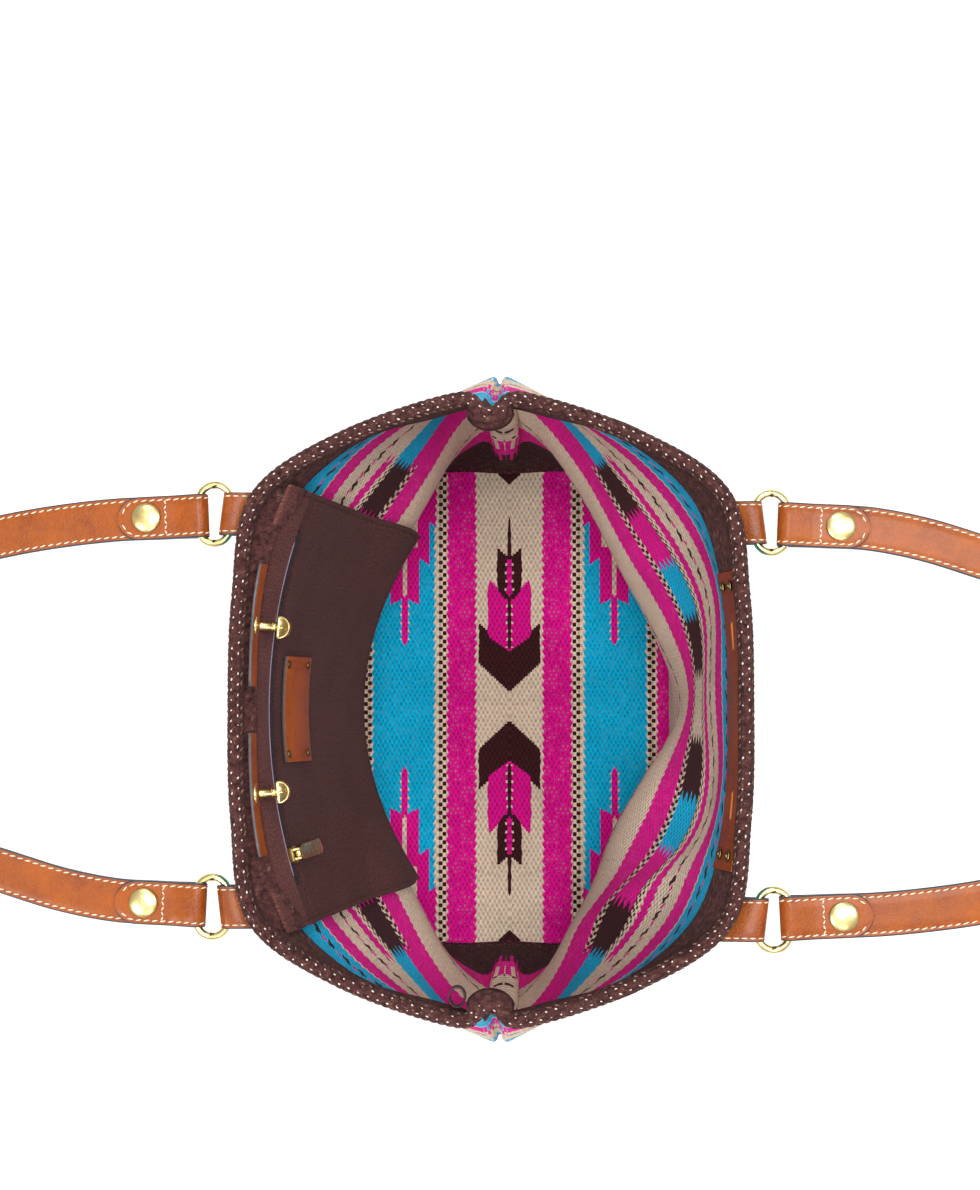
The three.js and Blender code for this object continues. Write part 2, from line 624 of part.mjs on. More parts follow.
// A leather tab: up the wall, round the ring's inner bar, and down over itself
function ringTab(name, side, way) {
  const across = [-1, -0.5, 0, 0.5, 1].map((share) => sideY(side, way) + share * TAB_WIDTH / 2);
  const turn = RING_WIRE / 2 + WRAP_GAP + LEATHER / 2;
  const near = SEAT + LEATHER / 2;
  const far = near + GAP + LEATHER;
  const onWall = (z, lift) => ({ z, hug: 1, lift, normal: [1, 0] });
  const round = (angle) => ({ z: RING_HEIGHT + turn * Math.sin(angle), hug: 0,
    x: BAR_X + turn * Math.cos(angle), normal: [Math.cos(angle), Math.sin(angle)] });
  const below = (share) => RING_HEIGHT - TAB_LENGTH * share;
  const climb = [1, 0.68, 0.4, 0.2].map((share) => onWall(below(share), near));
  const bend = { z: RING_HEIGHT + turn * 0.55, hug: 0.6, lift: near, x: BAR_X - turn * 0.6, normal: [-0.5, 0.87] };
  const loop = [0.42, 0.25, 0.08, -0.08, -0.25, -0.4].map((share) => round(Math.PI * share));
  const back = { z: RING_HEIGHT - turn * 1.9, hug: 0.5, lift: far, x: BAR_X - turn * 0.2, normal: [0.75, -0.66] };
  const fall = [0.32, 0.52, 0.76, 1].map((share) => onWall(below(share), far));
  const stations = [...climb, bend, ...loop, back, ...fall];
  const turnedOver = (i) => (i < climb.length + 1 ? -1 : 1);
  const rings = stations.map((station, i) => {
    const point = (y, out) => {
      const hugged = station.hug ? wallX(side.sign, y, Math.min(station.z, BAG_HEIGHT), 0) : 0;
      const free = station.x ? station.x * side.sign : 0;
      const lift = station.lift ? station.lift * side.sign : 0;
      const x = mix(free, hugged + lift, station.hug);
      const flip = station.hug === 1 ? turnedOver(i) : 1;
      const half = out * flip * LEATHER / 2;
      return vec(x + side.sign * half * station.normal[0], y, station.z + half * station.normal[1]);
    };
    return [...across.map((y) => point(y, 1)), ...[...across].reverse().map((y) => point(y, -1))];
  });
  return piece(name, skin(rings), COGNAC);
}

// The handle's middle line in plan: distance out from the ring, and y
function handleLine(side) {
  const half = RING_SPACING / 2;
  const leg = LEG.map(([d, inward]) => [d, half - inward]);
  const points = [...leg, [HANDLE_REACH, 0], ...[...leg].reverse().map(([d, y]) => [d, -y])];
  return new THREE.CatmullRomCurve3(points.map(([d, y]) => {
    const lean = side.skew * smooth(d, HANDLE_FOLD / 2, TWIST_START) * d / 100;
    return vec(side.sign * (BAR_X + RING_SPAN + d), side.shift + y + lean, RING_HEIGHT - LAYER);
  }));
}

const LAYER = (STRAP_LEATHER + GAP) / 2;

// One strap: each end goes round its ring and folds back over itself, and the middle turns on edge
function handle(name, side) {
  const line = handleLine(side);
  const total = line.getLength();
  const turn = RING_WIRE / 2 + WRAP_GAP + STRAP_LEATHER / 2;
  const fold = (way) => {
    const start = line.getPointAt(way > 0 ? 0 : 1);
    const ahead = line.getTangentAt(way > 0 ? 0.002 : 0.998).multiplyScalar(way).setZ(0).normalize();
    const width = vec(-ahead.y, ahead.x, 0).multiplyScalar(way);
    const station = (d, height, slope, half = STRAP_WIDTH / 2) => {
      const normal = ahead.clone().multiplyScalar(-Math.sin(slope)).setZ(Math.cos(slope));
      const centre = start.clone().addScaledVector(ahead, d).setZ(RING_HEIGHT + height);
      return { centre, width, normal, half };
    };
    const radius = STRAP_WIDTH / 2;
    const tip = [0.3, 1.5, 4, 7.5, radius].map((s) =>
      station(HANDLE_FOLD - s, LAYER, Math.PI, Math.sqrt(radius ** 2 - (radius - s) ** 2)));
    const wrap = [0.5, 0.7, 0.9, 1.1, 1.3, 1.5].map((share) => {
      const angle = Math.PI * share;
      return station(turn * Math.cos(angle), turn * Math.sin(angle), angle + Math.PI / 2);
    });
    const upper = [[WRAP_RUN, LAYER, Math.PI], [WRAP_RUN / 2, (turn + LAYER) / 2, Math.PI - 0.18]];
    const lower = [[WRAP_RUN / 2, -(turn + LAYER) / 2, 0.18]];
    return [...tip, ...upper.map((s) => station(...s)), ...wrap, ...lower.map((s) => station(...s))];
  };
  const run = [];
  const count = 46;
  for (let i = 0; i <= count; i++) {
    const s = mix(WRAP_RUN / total, 1 - WRAP_RUN / total, i / count);
    const centre = line.getPointAt(s);
    const ahead = line.getTangentAt(s).normalize();
    const flat = vec(-ahead.y, ahead.x, 0).normalize();
    const reach = Math.abs(centre.x) - BAR_X - RING_SPAN;
    const angle = -smooth(reach, TWIST_START, TWIST_END) * Math.PI / 2;
    const width = flat.applyAxisAngle(ahead, angle);
    run.push({ centre, width, normal: ahead.clone().cross(width), half: STRAP_WIDTH / 2 });
  }
  const stations = [...fold(1), ...run, ...fold(-1).reverse()];
  const strap = skin(stations.map(({ centre, width, normal, half }) => {
    const at = (a, b) => centre.clone().addScaledVector(width, a * half).addScaledVector(normal, b * STRAP_LEATHER / 2);
    return [at(-1, 1), at(1, 1), at(1, -1), at(-1, -1)];
  }));
  const holes = [1, -1].map((way) => {
    const place = capPlace(side, way);
    return new THREE.CylinderGeometry(SHANK_DIAMETER / 2 + GAP, SHANK_DIAMETER / 2 + GAP, HOLE_REACH, 16)
      .rotateX(Math.PI / 2).translate(place.x, place.y, place.z);
  });
  return piece(name, cut(strap, ...holes), COGNAC);
}

function capPlace(side, way) {
  const line = handleLine(side);
  const share = CAP_DISTANCE / line.getLength();
  return line.getPointAt(way > 0 ? share : 1 - share).setZ(RING_HEIGHT);
}

// A domed cap on the folded end, with its shank and back washer
function strapCap(name, side, way) {
  const top = LAYER + STRAP_LEATHER / 2 + GAP;
  const radius = CAP_DIAMETER / 2;
  const shank = SHANK_DIAMETER / 2;
  const dome = [0, 0.3, 0.6, 0.85].map((t) =>
    [radius * Math.cos(t * Math.PI / 2), top + 0.5 + (CAP_DOME - 0.5) * Math.sin(t * Math.PI / 2)]);
  const profile = [[0, -top - 1], [radius * 0.6, -top - 1], [radius * 0.6, -top], [shank, -top], [shank, top],
    [radius, top], ...dome, [0, top + CAP_DOME]];
  return stand(piece(name, turned(profile), ANTIQUE_BRASS), capPlace(side, way), vec(0, 0, 1));
}

const bag = new THREE.Group();
bag.add(piece('woven_body', wovenBody(), WOOL), pocket(), ...zipTapes(), zipSlider(), zipPull(), ...patch());
bag.add(...toggle(0, 'front'), ...toggle(1, 'back'), ...closureStrip(), seamLoop());
for (const side of SIDES) {
  bag.add(handle(`handle_${side.name}`, side));
  for (const [way, end] of [[1, 'a'], [-1, 'b']]) {
    const tag = `${side.name}_${end}`;
    bag.add(wireRing(`ring_${tag}`, side, way), ringTab(`ring_tab_${tag}`, side, way));
    bag.add(strapCap(`strap_cap_${tag}`, side, way));
  }
}

export default bag;
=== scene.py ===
import json
import math
from functools import partial

import bmesh
import bpy
import numpy as np
from bpy.props import FloatProperty, FloatVectorProperty, IntProperty, PointerProperty
from mathutils import Matrix, Vector


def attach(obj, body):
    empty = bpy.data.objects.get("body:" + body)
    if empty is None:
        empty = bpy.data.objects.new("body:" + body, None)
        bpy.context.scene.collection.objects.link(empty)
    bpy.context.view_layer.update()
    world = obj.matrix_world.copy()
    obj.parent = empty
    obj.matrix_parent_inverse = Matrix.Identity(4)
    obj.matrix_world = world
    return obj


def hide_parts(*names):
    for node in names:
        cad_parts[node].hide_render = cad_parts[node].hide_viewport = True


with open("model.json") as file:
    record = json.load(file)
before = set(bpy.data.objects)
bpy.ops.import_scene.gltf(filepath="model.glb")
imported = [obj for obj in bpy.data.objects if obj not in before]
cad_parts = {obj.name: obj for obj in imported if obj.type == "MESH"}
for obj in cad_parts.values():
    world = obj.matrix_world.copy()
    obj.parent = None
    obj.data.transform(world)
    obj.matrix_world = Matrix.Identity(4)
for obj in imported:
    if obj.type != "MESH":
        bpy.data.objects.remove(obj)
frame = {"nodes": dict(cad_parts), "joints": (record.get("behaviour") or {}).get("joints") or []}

bl_info = {
    "name": "Woven tote bag",
    "version": (1, 0, 0),
    "blender": (4, 5, 0),
    "location": "3D View > Sidebar > Tote bag",
    "description": "Dresses the frame of an open woven tote bag with cloth, leather and brass",
    "category": "Add Mesh",
}

MM = 0.001


def colour(code):
    """An sRGB hex colour as the linear one that a shader takes"""
    parts = [int(code[i:i + 2], 16) / 255 for i in (1, 3, 5)]
    return tuple(c / 12.92 if c <= 0.04045 else ((c + 0.055) / 1.055) ** 2.4 for c in parts)


# Sizes and colours that a user would change

def length(name, description, default):
    return FloatProperty(name=name, description=description, default=default, unit="LENGTH")


def tint(name, description, code):
    return FloatVectorProperty(name=name, description=description, subtype="COLOR",
                               default=colour(code), min=0.0, max=1.0)


class ToteBody(bpy.types.PropertyGroup):
    """The woven body, as it stands open"""

    height: length("Height", "Floor to the top of the rolled edge", 0.300)
    mouth_width: length("Mouth width", "Across the mouth, outside", 0.264)
    mouth_length: length("Mouth length", "Seam to seam at the mouth", 0.318)
    cloth: length("Cloth", "Thickness of the woven cloth", 0.003)
    warp: length("Warp pitch", "From one warp yarn to the next", 0.00265)
    columns: IntProperty(name="Columns", description="Faces round the body", default=440, min=60)
    rows: IntProperty(name="Rows", description="Faces up one wall", default=58, min=10)


class ToteLeather(bpy.types.PropertyGroup):
    """The straps, tabs, plates and strip"""

    strap_width: length("Strap width", "Width of a handle", 0.0225)
    strap_leather: length("Strap leather", "Thickness of a handle", 0.0026)
    leather: length("Leather", "Thickness of a tab, plate or strip", 0.0022)
    stitch: length("Stitch pitch", "From one stitch to the next", 0.0042)
    stitch_margin: length("Stitch margin", "From a strap's edge to its stitches", 0.0022)


class ToteColours(bpy.types.PropertyGroup):
    """The colours of the yarns, leathers and metal"""

    magenta: tint("Magenta", "Dyed wool", "#E61292")
    turquoise: tint("Turquoise", "Dyed wool", "#0CB4E2")
    cream: tint("Cream", "Undyed wool", "#E4CFB6")
    brown: tint("Brown", "Dark yarn of the pattern", "#3E1C1F")
    edge: tint("Edge", "Yarn of the rolled edge", "#543331")
    twill: tint("Twill", "Cotton of the pocket", "#4F2E2B")
    cognac: tint("Cognac", "Leather of the handles and tabs", "#94480F")
    saddle: tint("Saddle", "Leather of the plates and strip", "#8A421A")
    brass: tint("Brass", "Plating of the fittings", "#D8C78A")
    thread: tint("Thread", "Stitching of the handles", "#E8DCC2")


def body_sizes():
    return bpy.context.scene.tote_body


def leather_sizes():
    return bpy.context.scene.tote_leather


# Forms that the frame shares: the outlines of the woven body

FLOOR = (0.208, 0.312)
WAIST = (0.218, 0.350)
BELLY = (0.242, 0.360)
WAIST_HEIGHT = 0.105
BELLY_HEIGHT = 0.200
CROWDING = 0.65
SEAM_RIDGE = 0.008
SEAM_BUNDLE = 0.0115
SEAM_WIDTH = 0.012
HEM_DROP = 0.038
HEM_TOP = 0.004
HEM_FOOT = 0.006
ROLL_WIDTH = 0.010
ROLL_BREADTH = 0.0078
ROLL_HEIGHT = 0.009


def smooth(value, low, high):
    t = np.clip((value - low) / (high - low), 0, 1)
    return t * t * (3 - 2 * t)


def mix(a, b, share):
    return a + (b - a) * share


def half_end(width, length, notch, shoulders, flank=0.85):
    """Half of one end of a section, from the side seam to the middle of a wall"""
    end, side = length / 2, width / 2
    bend = [(across * side, end - inward * length) for across, inward in shoulders]
    last_x, last_y = bend[-1]
    return [(0, end - notch), *bend, (mix(last_x, side, flank), last_y * 0.52), (side, 0)]


def sections(body):
    mouth = (body.mouth_width, body.mouth_length)
    return [
        (0.0, half_end(*FLOOR, 0, [(0.385, 0), (0.75, 0.045), (0.942, 0.199)])),
        (WAIST_HEIGHT, half_end(*WAIST, 0.003, [(0.083, 0), (0.303, 0.0714), (0.633, 0.2514)],
                                flank=0.62)),
        (BELLY_HEIGHT, half_end(*BELLY, 0.004, [(0.066, 0), (0.347, 0.0472), (0.727, 0.1833)])),
        (body.height, half_end(*mouth, 0.007, [(0.129, 0), (0.583, 0.0629), (0.917, 0.1604)])),
    ]


def between(at, values, z):
    """A smooth value between the sections' values"""
    i = 0
    while i < len(at) - 2 and z > at[i + 1]:
        i += 1
    span = at[i + 1] - at[i]
    t = (z - at[i]) / span

    def slope(k):
        low, high = max(k - 1, 0), min(k + 1, len(at) - 1)
        return (values[high] - values[low]) / (at[high] - at[low])

    rise = values[i + 1] - values[i]
    lead = slope(i) * span - rise
    trail = rise - slope(i + 1) * span
    return values[i] + rise * t + t * (1 - t) * (lead * (1 - t) + trail * t)


def closed_curve(points, shares):
    """Points at shares of the length of a closed Catmull-Rom curve through the given points"""
    fine = 60
    p = np.array(points)
    after, beyond = np.roll(p, -1, 0), np.roll(p, -2, 0)
    m0, m1 = (after - np.roll(p, 1, 0)) / 2, (beyond - p) / 2
    t = (np.arange(fine) / fine)[:, None, None]
    curve = (p * (2 * t**3 - 3 * t**2 + 1) + m0 * (t**3 - 2 * t**2 + t)
             + after * (3 * t**2 - 2 * t**3) + m1 * (t**3 - t**2))
    line = curve.transpose(1, 0, 2).reshape(-1, p.shape[1])
    return along_line(np.vstack([line, line[:1]]), np.mod(shares, 1.0))


def along_line(line, shares):
    """Points at shares of a line's length"""
    steps = np.linalg.norm(np.diff(line, axis=0), axis=1)
    done = np.concatenate([[0], np.cumsum(steps)])
    where = np.asarray(shares) * done[-1]
    return np.stack([np.interp(where, done, line[:, k]) for k in range(line.shape[1])], axis=1)


def ridge(x, width=SEAM_WIDTH):
    return np.exp(-((2 * x / width) ** 4))


# One flank leans further in than the others, and a fold runs down it from the belly
DENT_DEPTH = 0.012
DENT_Y = -0.055
DENT_REACH = 0.050
SLUMP = 0.0016
FOLD_DEPTH = 0.007
FOLD_TOP = (-0.088, 0.205)
FOLD_FOOT = (-0.128, 0.125)
FOLD_WIDTH = 0.016
FOLD_MIDDLE = 0.165
FOLD_RUN = 0.045

# The side seams stand out as a prow below the rim: height and how far an end moves out there,
# and how far from the seam this begins to fade and ends
PROW = [(0.0, -0.005), (0.071, -0.0065), (0.105, -0.002), (0.155, 0.007), (0.200, -0.003),
        (0.235, -0.008), (0.262, -0.007), (0.287, -0.0035), (0.300, 0.0)]
PROW_NEAR = 0.026
PROW_FAR = 0.080


class BodyForm:
    """The outlines of the body at every height, from the seam at +Y round by +X"""

    def __init__(self, body, columns):
        self.cloth = body.cloth
        self.height = body.height
        self.at = [z for z, _ in sections(body)]
        self.halves = np.array([half for _, half in sections(body)])
        u = np.arange(columns) / columns
        self.shares = u - CROWDING * np.sin(4 * math.pi * u) / (4 * math.pi)

    def outline(self, z):
        half = between(self.at, self.halves, z)
        right = np.vstack([half, half[-2::-1] * (1, -1)])
        loop = np.vstack([right, right[-2:0:-1] * (-1, 1)])
        ring = closed_curve(loop, self.shares)
        near = smooth(z, 0.02, WAIST_HEIGHT) * (1 - smooth(z, WAIST_HEIGHT, BELLY_HEIGHT))
        dent = DENT_DEPTH * near * np.exp(-(((ring[:, 1] - DENT_Y) / DENT_REACH) ** 2))
        fold_y = np.interp(z, (FOLD_FOOT[1], FOLD_TOP[1]), (FOLD_FOOT[0], FOLD_TOP[0]))
        across = (ring[:, 1] - fold_y) / FOLD_WIDTH
        fold = FOLD_DEPTH * np.exp(-across**2) * np.exp(-(((z - FOLD_MIDDLE) / FOLD_RUN) ** 2))
        right = smooth(ring[:, 0], 0, 0.03)
        ring[:, 0] -= (dent + fold) * right
        free = smooth(z, 0.02, 0.08) * (1 - smooth(z, 0.225, 0.255))
        wave = np.sin(31 * ring[:, 1] + 17 * z + 1.3) + 0.6 * np.sin(57 * ring[:, 1] - 43 * z)
        ring[:, 0] += SLUMP * free * wave * smooth(np.abs(ring[:, 0]), 0.01, 0.05)
        out = np.interp(z, *zip(*PROW)) * (1 - smooth(np.abs(ring[:, 0]), PROW_NEAR, PROW_FAR))
        ring[:, 1] += out * np.sign(ring[:, 1])
        return ring

    def inset(self, z, depth):
        """The outline at a height moved inwards, by a depth that may depend on the point"""
        ring = self.outline(z)
        along = np.roll(ring, -1, 0) - np.roll(ring, 1, 0)
        inward = np.stack([along[:, 1], -along[:, 0]], axis=1)
        inward /= np.linalg.norm(inward, axis=1)[:, None]
        by = depth(ring) if callable(depth) else depth
        return ring + inward * np.reshape(by, (-1, 1))

    def lining(self, z, base):
        """Depth of the inner face: the seam's allowance stands inside as a ridge"""
        low = SEAM_RIDGE * smooth(z, self.cloth, WAIST_HEIGHT / 2)
        deep = max(base, mix(low, SEAM_BUNDLE, smooth(z, BELLY_HEIGHT, self.height)))
        return lambda ring: base + (deep - base) * ridge(ring[:, 0])

    def side(self, sign, z, depth):
        """The y and x of one side of the outline, moved in by a depth, in the order of y"""
        ring = self.inset(z, depth)
        side = ring[ring[:, 0] * sign > 0]
        side = side[np.argsort(side[:, 1])]
        return side[:, 1], side[:, 0]


# Making meshes

def grid(bm, points, round_rows=False, round_columns=False, uv=None, paint=None):
    """A bmesh grid laid through rows of points. It closes on itself where it goes round, and a
    second material goes on the columns that are painted."""
    points = np.asarray(points, float)
    if round_columns:
        points = np.concatenate([points, points[:, :1]], axis=1)
    if round_rows:
        points = np.concatenate([points, points[:1]], axis=0)
    rows, columns = points.shape[:2]
    made = bmesh.ops.create_grid(bm, x_segments=columns - 1, y_segments=rows - 1, size=1.0)["verts"]
    cells = {}
    for vert in made:
        j = round((vert.co.y + 1) / 2 * (rows - 1))
        i = round((vert.co.x + 1) / 2 * (columns - 1))
        cells[vert] = (j, i)
        vert.co = points[j, i]
    if uv is not None:
        maps = bm.loops.layers.uv.new("cloth")
        for face in {face for vert in made for face in vert.link_faces}:
            spots = [cells[loop.vert] for loop in face.loops]
            for loop, place in zip(face.loops, uv(spots, face)):
                loop[maps].uv = place
    if paint is not None:
        for face in {face for vert in made for face in vert.link_faces}:
            if all(paint(cells[vert][1]) for vert in face.verts):
                face.material_index = 1
    bmesh.ops.remove_doubles(bm, verts=made, dist=1e-7)


def finished(name, bm, *materials, sharp=None):
    """The bmesh as an object at the origin, facing out, with its materials"""
    bmesh.ops.recalc_face_normals(bm, faces=bm.faces)
    mesh = bpy.data.meshes.new(name)
    bm.to_mesh(mesh)
    bm.free()
    piece = bpy.data.objects.new(name, mesh)
    bpy.context.scene.collection.objects.link(piece)
    for material in materials:
        mesh.materials.append(material)
    mesh.shade_smooth()
    if sharp:
        mesh.set_sharp_from_angle(angle=math.radians(sharp))
    return piece


def dress(piece, body, slot, *nodes):
    """The piece rides on a body and stands for the nodes, which are hidden; the slot is not used"""
    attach(piece, body)
    if nodes:
        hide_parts(*nodes)


def second_finish(piece, limit):
    """The faces that turn away from X by more than a limit take the piece's second material"""
    for polygon in piece.data.polygons:
        if abs(polygon.normal.x) < limit:
            polygon.material_index = 1


def close_ends(bm):
    """Fills the open loops of a tube or strap"""
    edges = [edge for edge in bm.edges if edge.is_boundary]
    bmesh.ops.holes_fill(bm, edges=edges, sides=0)


def spun(bm, profile, place, direction, steps=48):
    """A closed round body: its profile of radius and height is spun about a direction"""
    turn = Vector((0, 0, 1)).rotation_difference(Vector(direction)).to_matrix().to_4x4()
    frame_of = Matrix.Translation(Vector(place)) @ turn
    verts = [bm.verts.new((r, 0, h)) for r, h in profile]
    edges = [bm.edges.new(pair) for pair in zip(verts, verts[1:])]
    bmesh.ops.spin(bm, geom=verts + edges, cent=(0, 0, 0), axis=(0, 0, 1), dvec=(0, 0, 0),
                   angle=2 * math.pi, steps=steps, use_merge=True, use_normal_flip=False,
                   use_duplicate=False)
    bmesh.ops.remove_doubles(bm, verts=[v for v in bm.verts if not v.tag], dist=1e-7)
    fresh = [v for v in bm.verts if not v.tag]
    bmesh.ops.transform(bm, matrix=frame_of, verts=fresh)
    for vert in fresh:
        vert.tag = True


def bead(bm, place, along, up, size, segments=(6, 4)):
    """A small rounded grain, such as a stitch or a fleck: its length, width and height"""
    along, up = Vector(along).normalized(), Vector(up).normalized()
    side = up.cross(along).normalized()
    up = along.cross(side)
    axes = Matrix((along * size[0] / 2, side * size[1] / 2, up * size[2] / 2)).transposed().to_4x4()
    bmesh.ops.create_uvsphere(bm, u_segments=segments[0], v_segments=segments[1], radius=1,
                              matrix=Matrix.Translation(Vector(place)) @ axes)


# Materials

def add_node(tree, kind, *inputs, out=0, stops=None, stepped=False, to=None, **settings):
    """Adds a shader node, sets it up and fills its inputs in order: a socket is linked, None is
    passed over and anything else is the input's value. A kind in capitals is an operation of the
    Math node. Returns one of the node's outputs, and links it to a socket if one is given."""
    if kind.isupper():
        settings["operation"], kind = kind, "Math"
    node = tree.nodes.new("ShaderNode" + kind)
    for name, value in settings.items():
        setattr(node, name, value)
    if stops:
        ramp = node.color_ramp
        ramp.interpolation = "CONSTANT" if stepped else "LINEAR"
        first, last = ramp.elements[0], ramp.elements[-1]
        first.position, last.position = stops[0][0], stops[-1][0]
        first.color, last.color = (*stops[0][1], 1), (*stops[-1][1], 1)
        for at, tone in stops[1:-1]:
            ramp.elements.new(at).color = (*tone, 1)
    for socket, value in zip(node.inputs, inputs):
        if isinstance(value, bpy.types.NodeSocket):
            tree.links.new(value, socket)
        elif value is not None:
            socket.default_value = value
    if to:
        tree.links.new(node.outputs[out], to)
    return node.outputs[out]


def material(name, values):
    """A new material, the function that adds its nodes, and its shader with the values that are
    the same all over"""
    made = bpy.data.materials.new(name)
    made.use_nodes = True
    shader = made.node_tree.nodes["Principled BSDF"]
    for key, value in values.items():
        shader.inputs[key].default_value = value
    return made, partial(add_node, made.node_tree), shader


# The blanket's pattern, in millimetres: how far the stripes and the floor's figures reach from
# the cloth's middle, the pitch of the blocks and the middle of the turquoise stripes
STRIPES_REACH = 420
FIGURES_REACH = 130
BLOCK_PITCH = 37.7
FEATHER_MIDDLE = 66.6


def wool_material(colours, warp):
    """Weft-faced wool blanket, handwoven. Each weft pass shows as a plump grain over one warp
    yarn, so stripes have scalloped edges and the surface is matt, with a soft sheen of fibres."""
    made, add, shader = material("handwoven_wool", {
        "Roughness": 0.85, "Sheen Weight": 0.03, "Sheen Roughness": 0.5, "Specular IOR Level": 0.1})
    spot = add("UVMap", uv_map="cloth")
    u = add("SeparateXYZ", spot)
    v = u.node.outputs[1]
    cream, magenta = tuple(colours.cream), tuple(colours.magenta)
    turquoise, brown = tuple(colours.turquoise), tuple(colours.brown)

    def inside(value, low, high):
        return add("MULTIPLY", add("GREATER_THAN", value, low * MM),
                   add("LESS_THAN", value, high * MM))

    def dyed(below, yarn, mask):
        """The yarn's colour, or the socket's, where the mask is 1"""
        return add("MixRGB", mask, below, (*yarn, 1) if isinstance(yarn, tuple) else yarn)

    # Scalloped edges: a weft pass swells over every other warp
    noise = add("TexNoise", spot, None, 160.0, 2.0, 0.5, noise_dimensions="2D")
    wobble = add("MULTIPLY", add("SUBTRACT", noise, 0.5), 1.6 * MM)
    scallop = add("MULTIPLY", add("PINGPONG", add("DIVIDE", u, 2 * warp), 0.5), 3 * MM)
    edge_v = add("ADD", add("ADD", add("SUBTRACT", v, 0.75 * MM), scallop), wobble)
    size_u = add("ABSOLUTE", u)

    # Comb teeth where the stripes meet the side seams
    at_seam = add("GREATER_THAN", size_u, 247 * MM)
    notch = add("GREATER_THAN", add("PINGPONG", add("DIVIDE", u, 3.4 * MM), 0.5), 0.25)
    edge_v = add("ADD", edge_v, add("MULTIPLY", add("MULTIPLY", at_seam, notch), 13 * MM))

    stripes = [(0, cream), (19.8, magenta), (38.5, cream), (46.6, turquoise), (86.9, cream),
               (93, magenta), (104, brown), (172, magenta), (192, cream), (240, magenta),
               (258, cream), (264, brown), (283, cream), (288, magenta), (295, cream),
               (318, magenta), (333, cream), (334.6, turquoise), (359.5, cream),
               (361.5, turquoise)]
    striped = add("DIVIDE", edge_v, STRIPES_REACH * MM)
    base = add("ValToRGB", striped, stepped=True,
               stops=[(at / STRIPES_REACH, c) for at, c in stripes])

    # The dark foot of the wall is woven only at the ends
    flank = add("MULTIPLY", inside(edge_v, 104, 192), add("LESS_THAN", size_u, 150 * MM))
    base = dyed(base, cream, flank)

    # The pale warp shows as small flecks between the grains, most in the stripes beside the
    # turquoise ones
    pick = 1.45 * MM
    warps = add("SINE", add("MULTIPLY", u, math.pi / warp))
    grain = add("MULTIPLY", warps, add("SINE", add("MULTIPLY", v, math.pi / pick)))
    off = add("ABSOLUTE", add("SUBTRACT", v, FEATHER_MIDDLE * MM))
    fleck = add("MULTIPLY", add("LESS_THAN", grain, -0.55), add("GREATER_THAN", noise, 0.53))
    beside = add("LESS_THAN", add("ABSOLUTE", add("SUBTRACT", off, 38 * MM)), 10 * MM)
    strength = add("ADD", 0.14, add("MULTIPLY", beside, 0.26))
    base = dyed(base, cream, add("MULTIPLY", fleck, strength))

    # The row of blocks, joined by comb teeth
    comb = add("SUBTRACT", add("PINGPONG", add("DIVIDE", v, 4.4 * MM), 0.5), 0.25)
    ragged = add("ADD", add("MULTIPLY", comb, 16 * MM), add("MULTIPLY", wobble, 2.0))
    comb_u = add("ADD", size_u, ragged)
    blocks = [cream, brown, turquoise, magenta, brown, turquoise, turquoise]
    row = add("ValToRGB", add("DIVIDE", comb_u, 300 * MM), stepped=True,
              stops=[(max(0, (k - 0.5) * BLOCK_PITCH) / 300, c) for k, c in enumerate(blocks)])
    base = dyed(base, row, inside(edge_v, 264, 283))

    # Checker lines on both sides of the blocks and on the floor
    def checker(below, middle, wide):
        picks = add("SINE", add("MULTIPLY", add("SUBTRACT", v, middle * MM), math.pi / (2.5 * MM)))
        dark = add("GREATER_THAN", add("MULTIPLY", warps, picks), 0.04)
        line = inside(v, middle - wide / 2, middle + wide / 2)
        return dyed(below, brown, add("MULTIPLY", dark, line))

    base = checker(checker(base, 42.5, 5.0), 90.0, 5.0)
    lines = checker(checker(base, 261.5, 5.0), 285.5, 2.5)
    near = add("LESS_THAN", comb_u, 4.5 * BLOCK_PITCH * MM)
    end = add("ValToRGB", striped, stepped=True,
              stops=[(at / STRIPES_REACH, c) for at, c in (
                  (0, cream), (200, cream), (240, magenta), (266, turquoise), (286, cream),
                  (300, cream))])
    base = dyed(dyed(base, end, inside(v, 250, 296)), lines, near)

    # Broken lines of black and pink yarn in the cream and turquoise stripes
    def dashes(below, middle, lean):
        offset = add("SUBTRACT", edge_v, middle * MM)
        run = add("ADD", add("DIVIDE", u, 12.5 * MM), add("MULTIPLY", offset, lean / MM))
        ragged = add("MULTIPLY", add("SUBTRACT", noise, 0.5), 0.35)
        beat = add("ADD", add("PINGPONG", run, 0.5), ragged)
        thick = add("MINIMUM", add("MULTIPLY", add("SUBTRACT", beat, 0.24), 20 * MM), 1.9 * MM)
        dark = add("LESS_THAN", add("ABSOLUTE", offset), thick)
        thin = add("MINIMUM", add("MULTIPLY", add("SUBTRACT", 0.19, beat), 18 * MM), 1.1 * MM)
        aside = add("ABSOLUTE", add("SUBTRACT", offset, 0.9 * MM))
        return dyed(dyed(below, brown, dark), magenta, add("LESS_THAN", aside, thin))

    for middle, lean in ((208, 0.10), (305, -0.10), (343, 0.10)):
        base = dashes(base, middle, lean)

    # Figures on the floor, by their half width over the distance from the middle
    jagged = add("ADD", add("SUBTRACT", size_u, 0.6 * MM), add("MULTIPLY", wobble, 1.2))
    snapped = add("SNAP", jagged, warp / 2)
    side = add("ABSOLUTE", add("ADD", v, add("MULTIPLY", wobble, 1.1)))

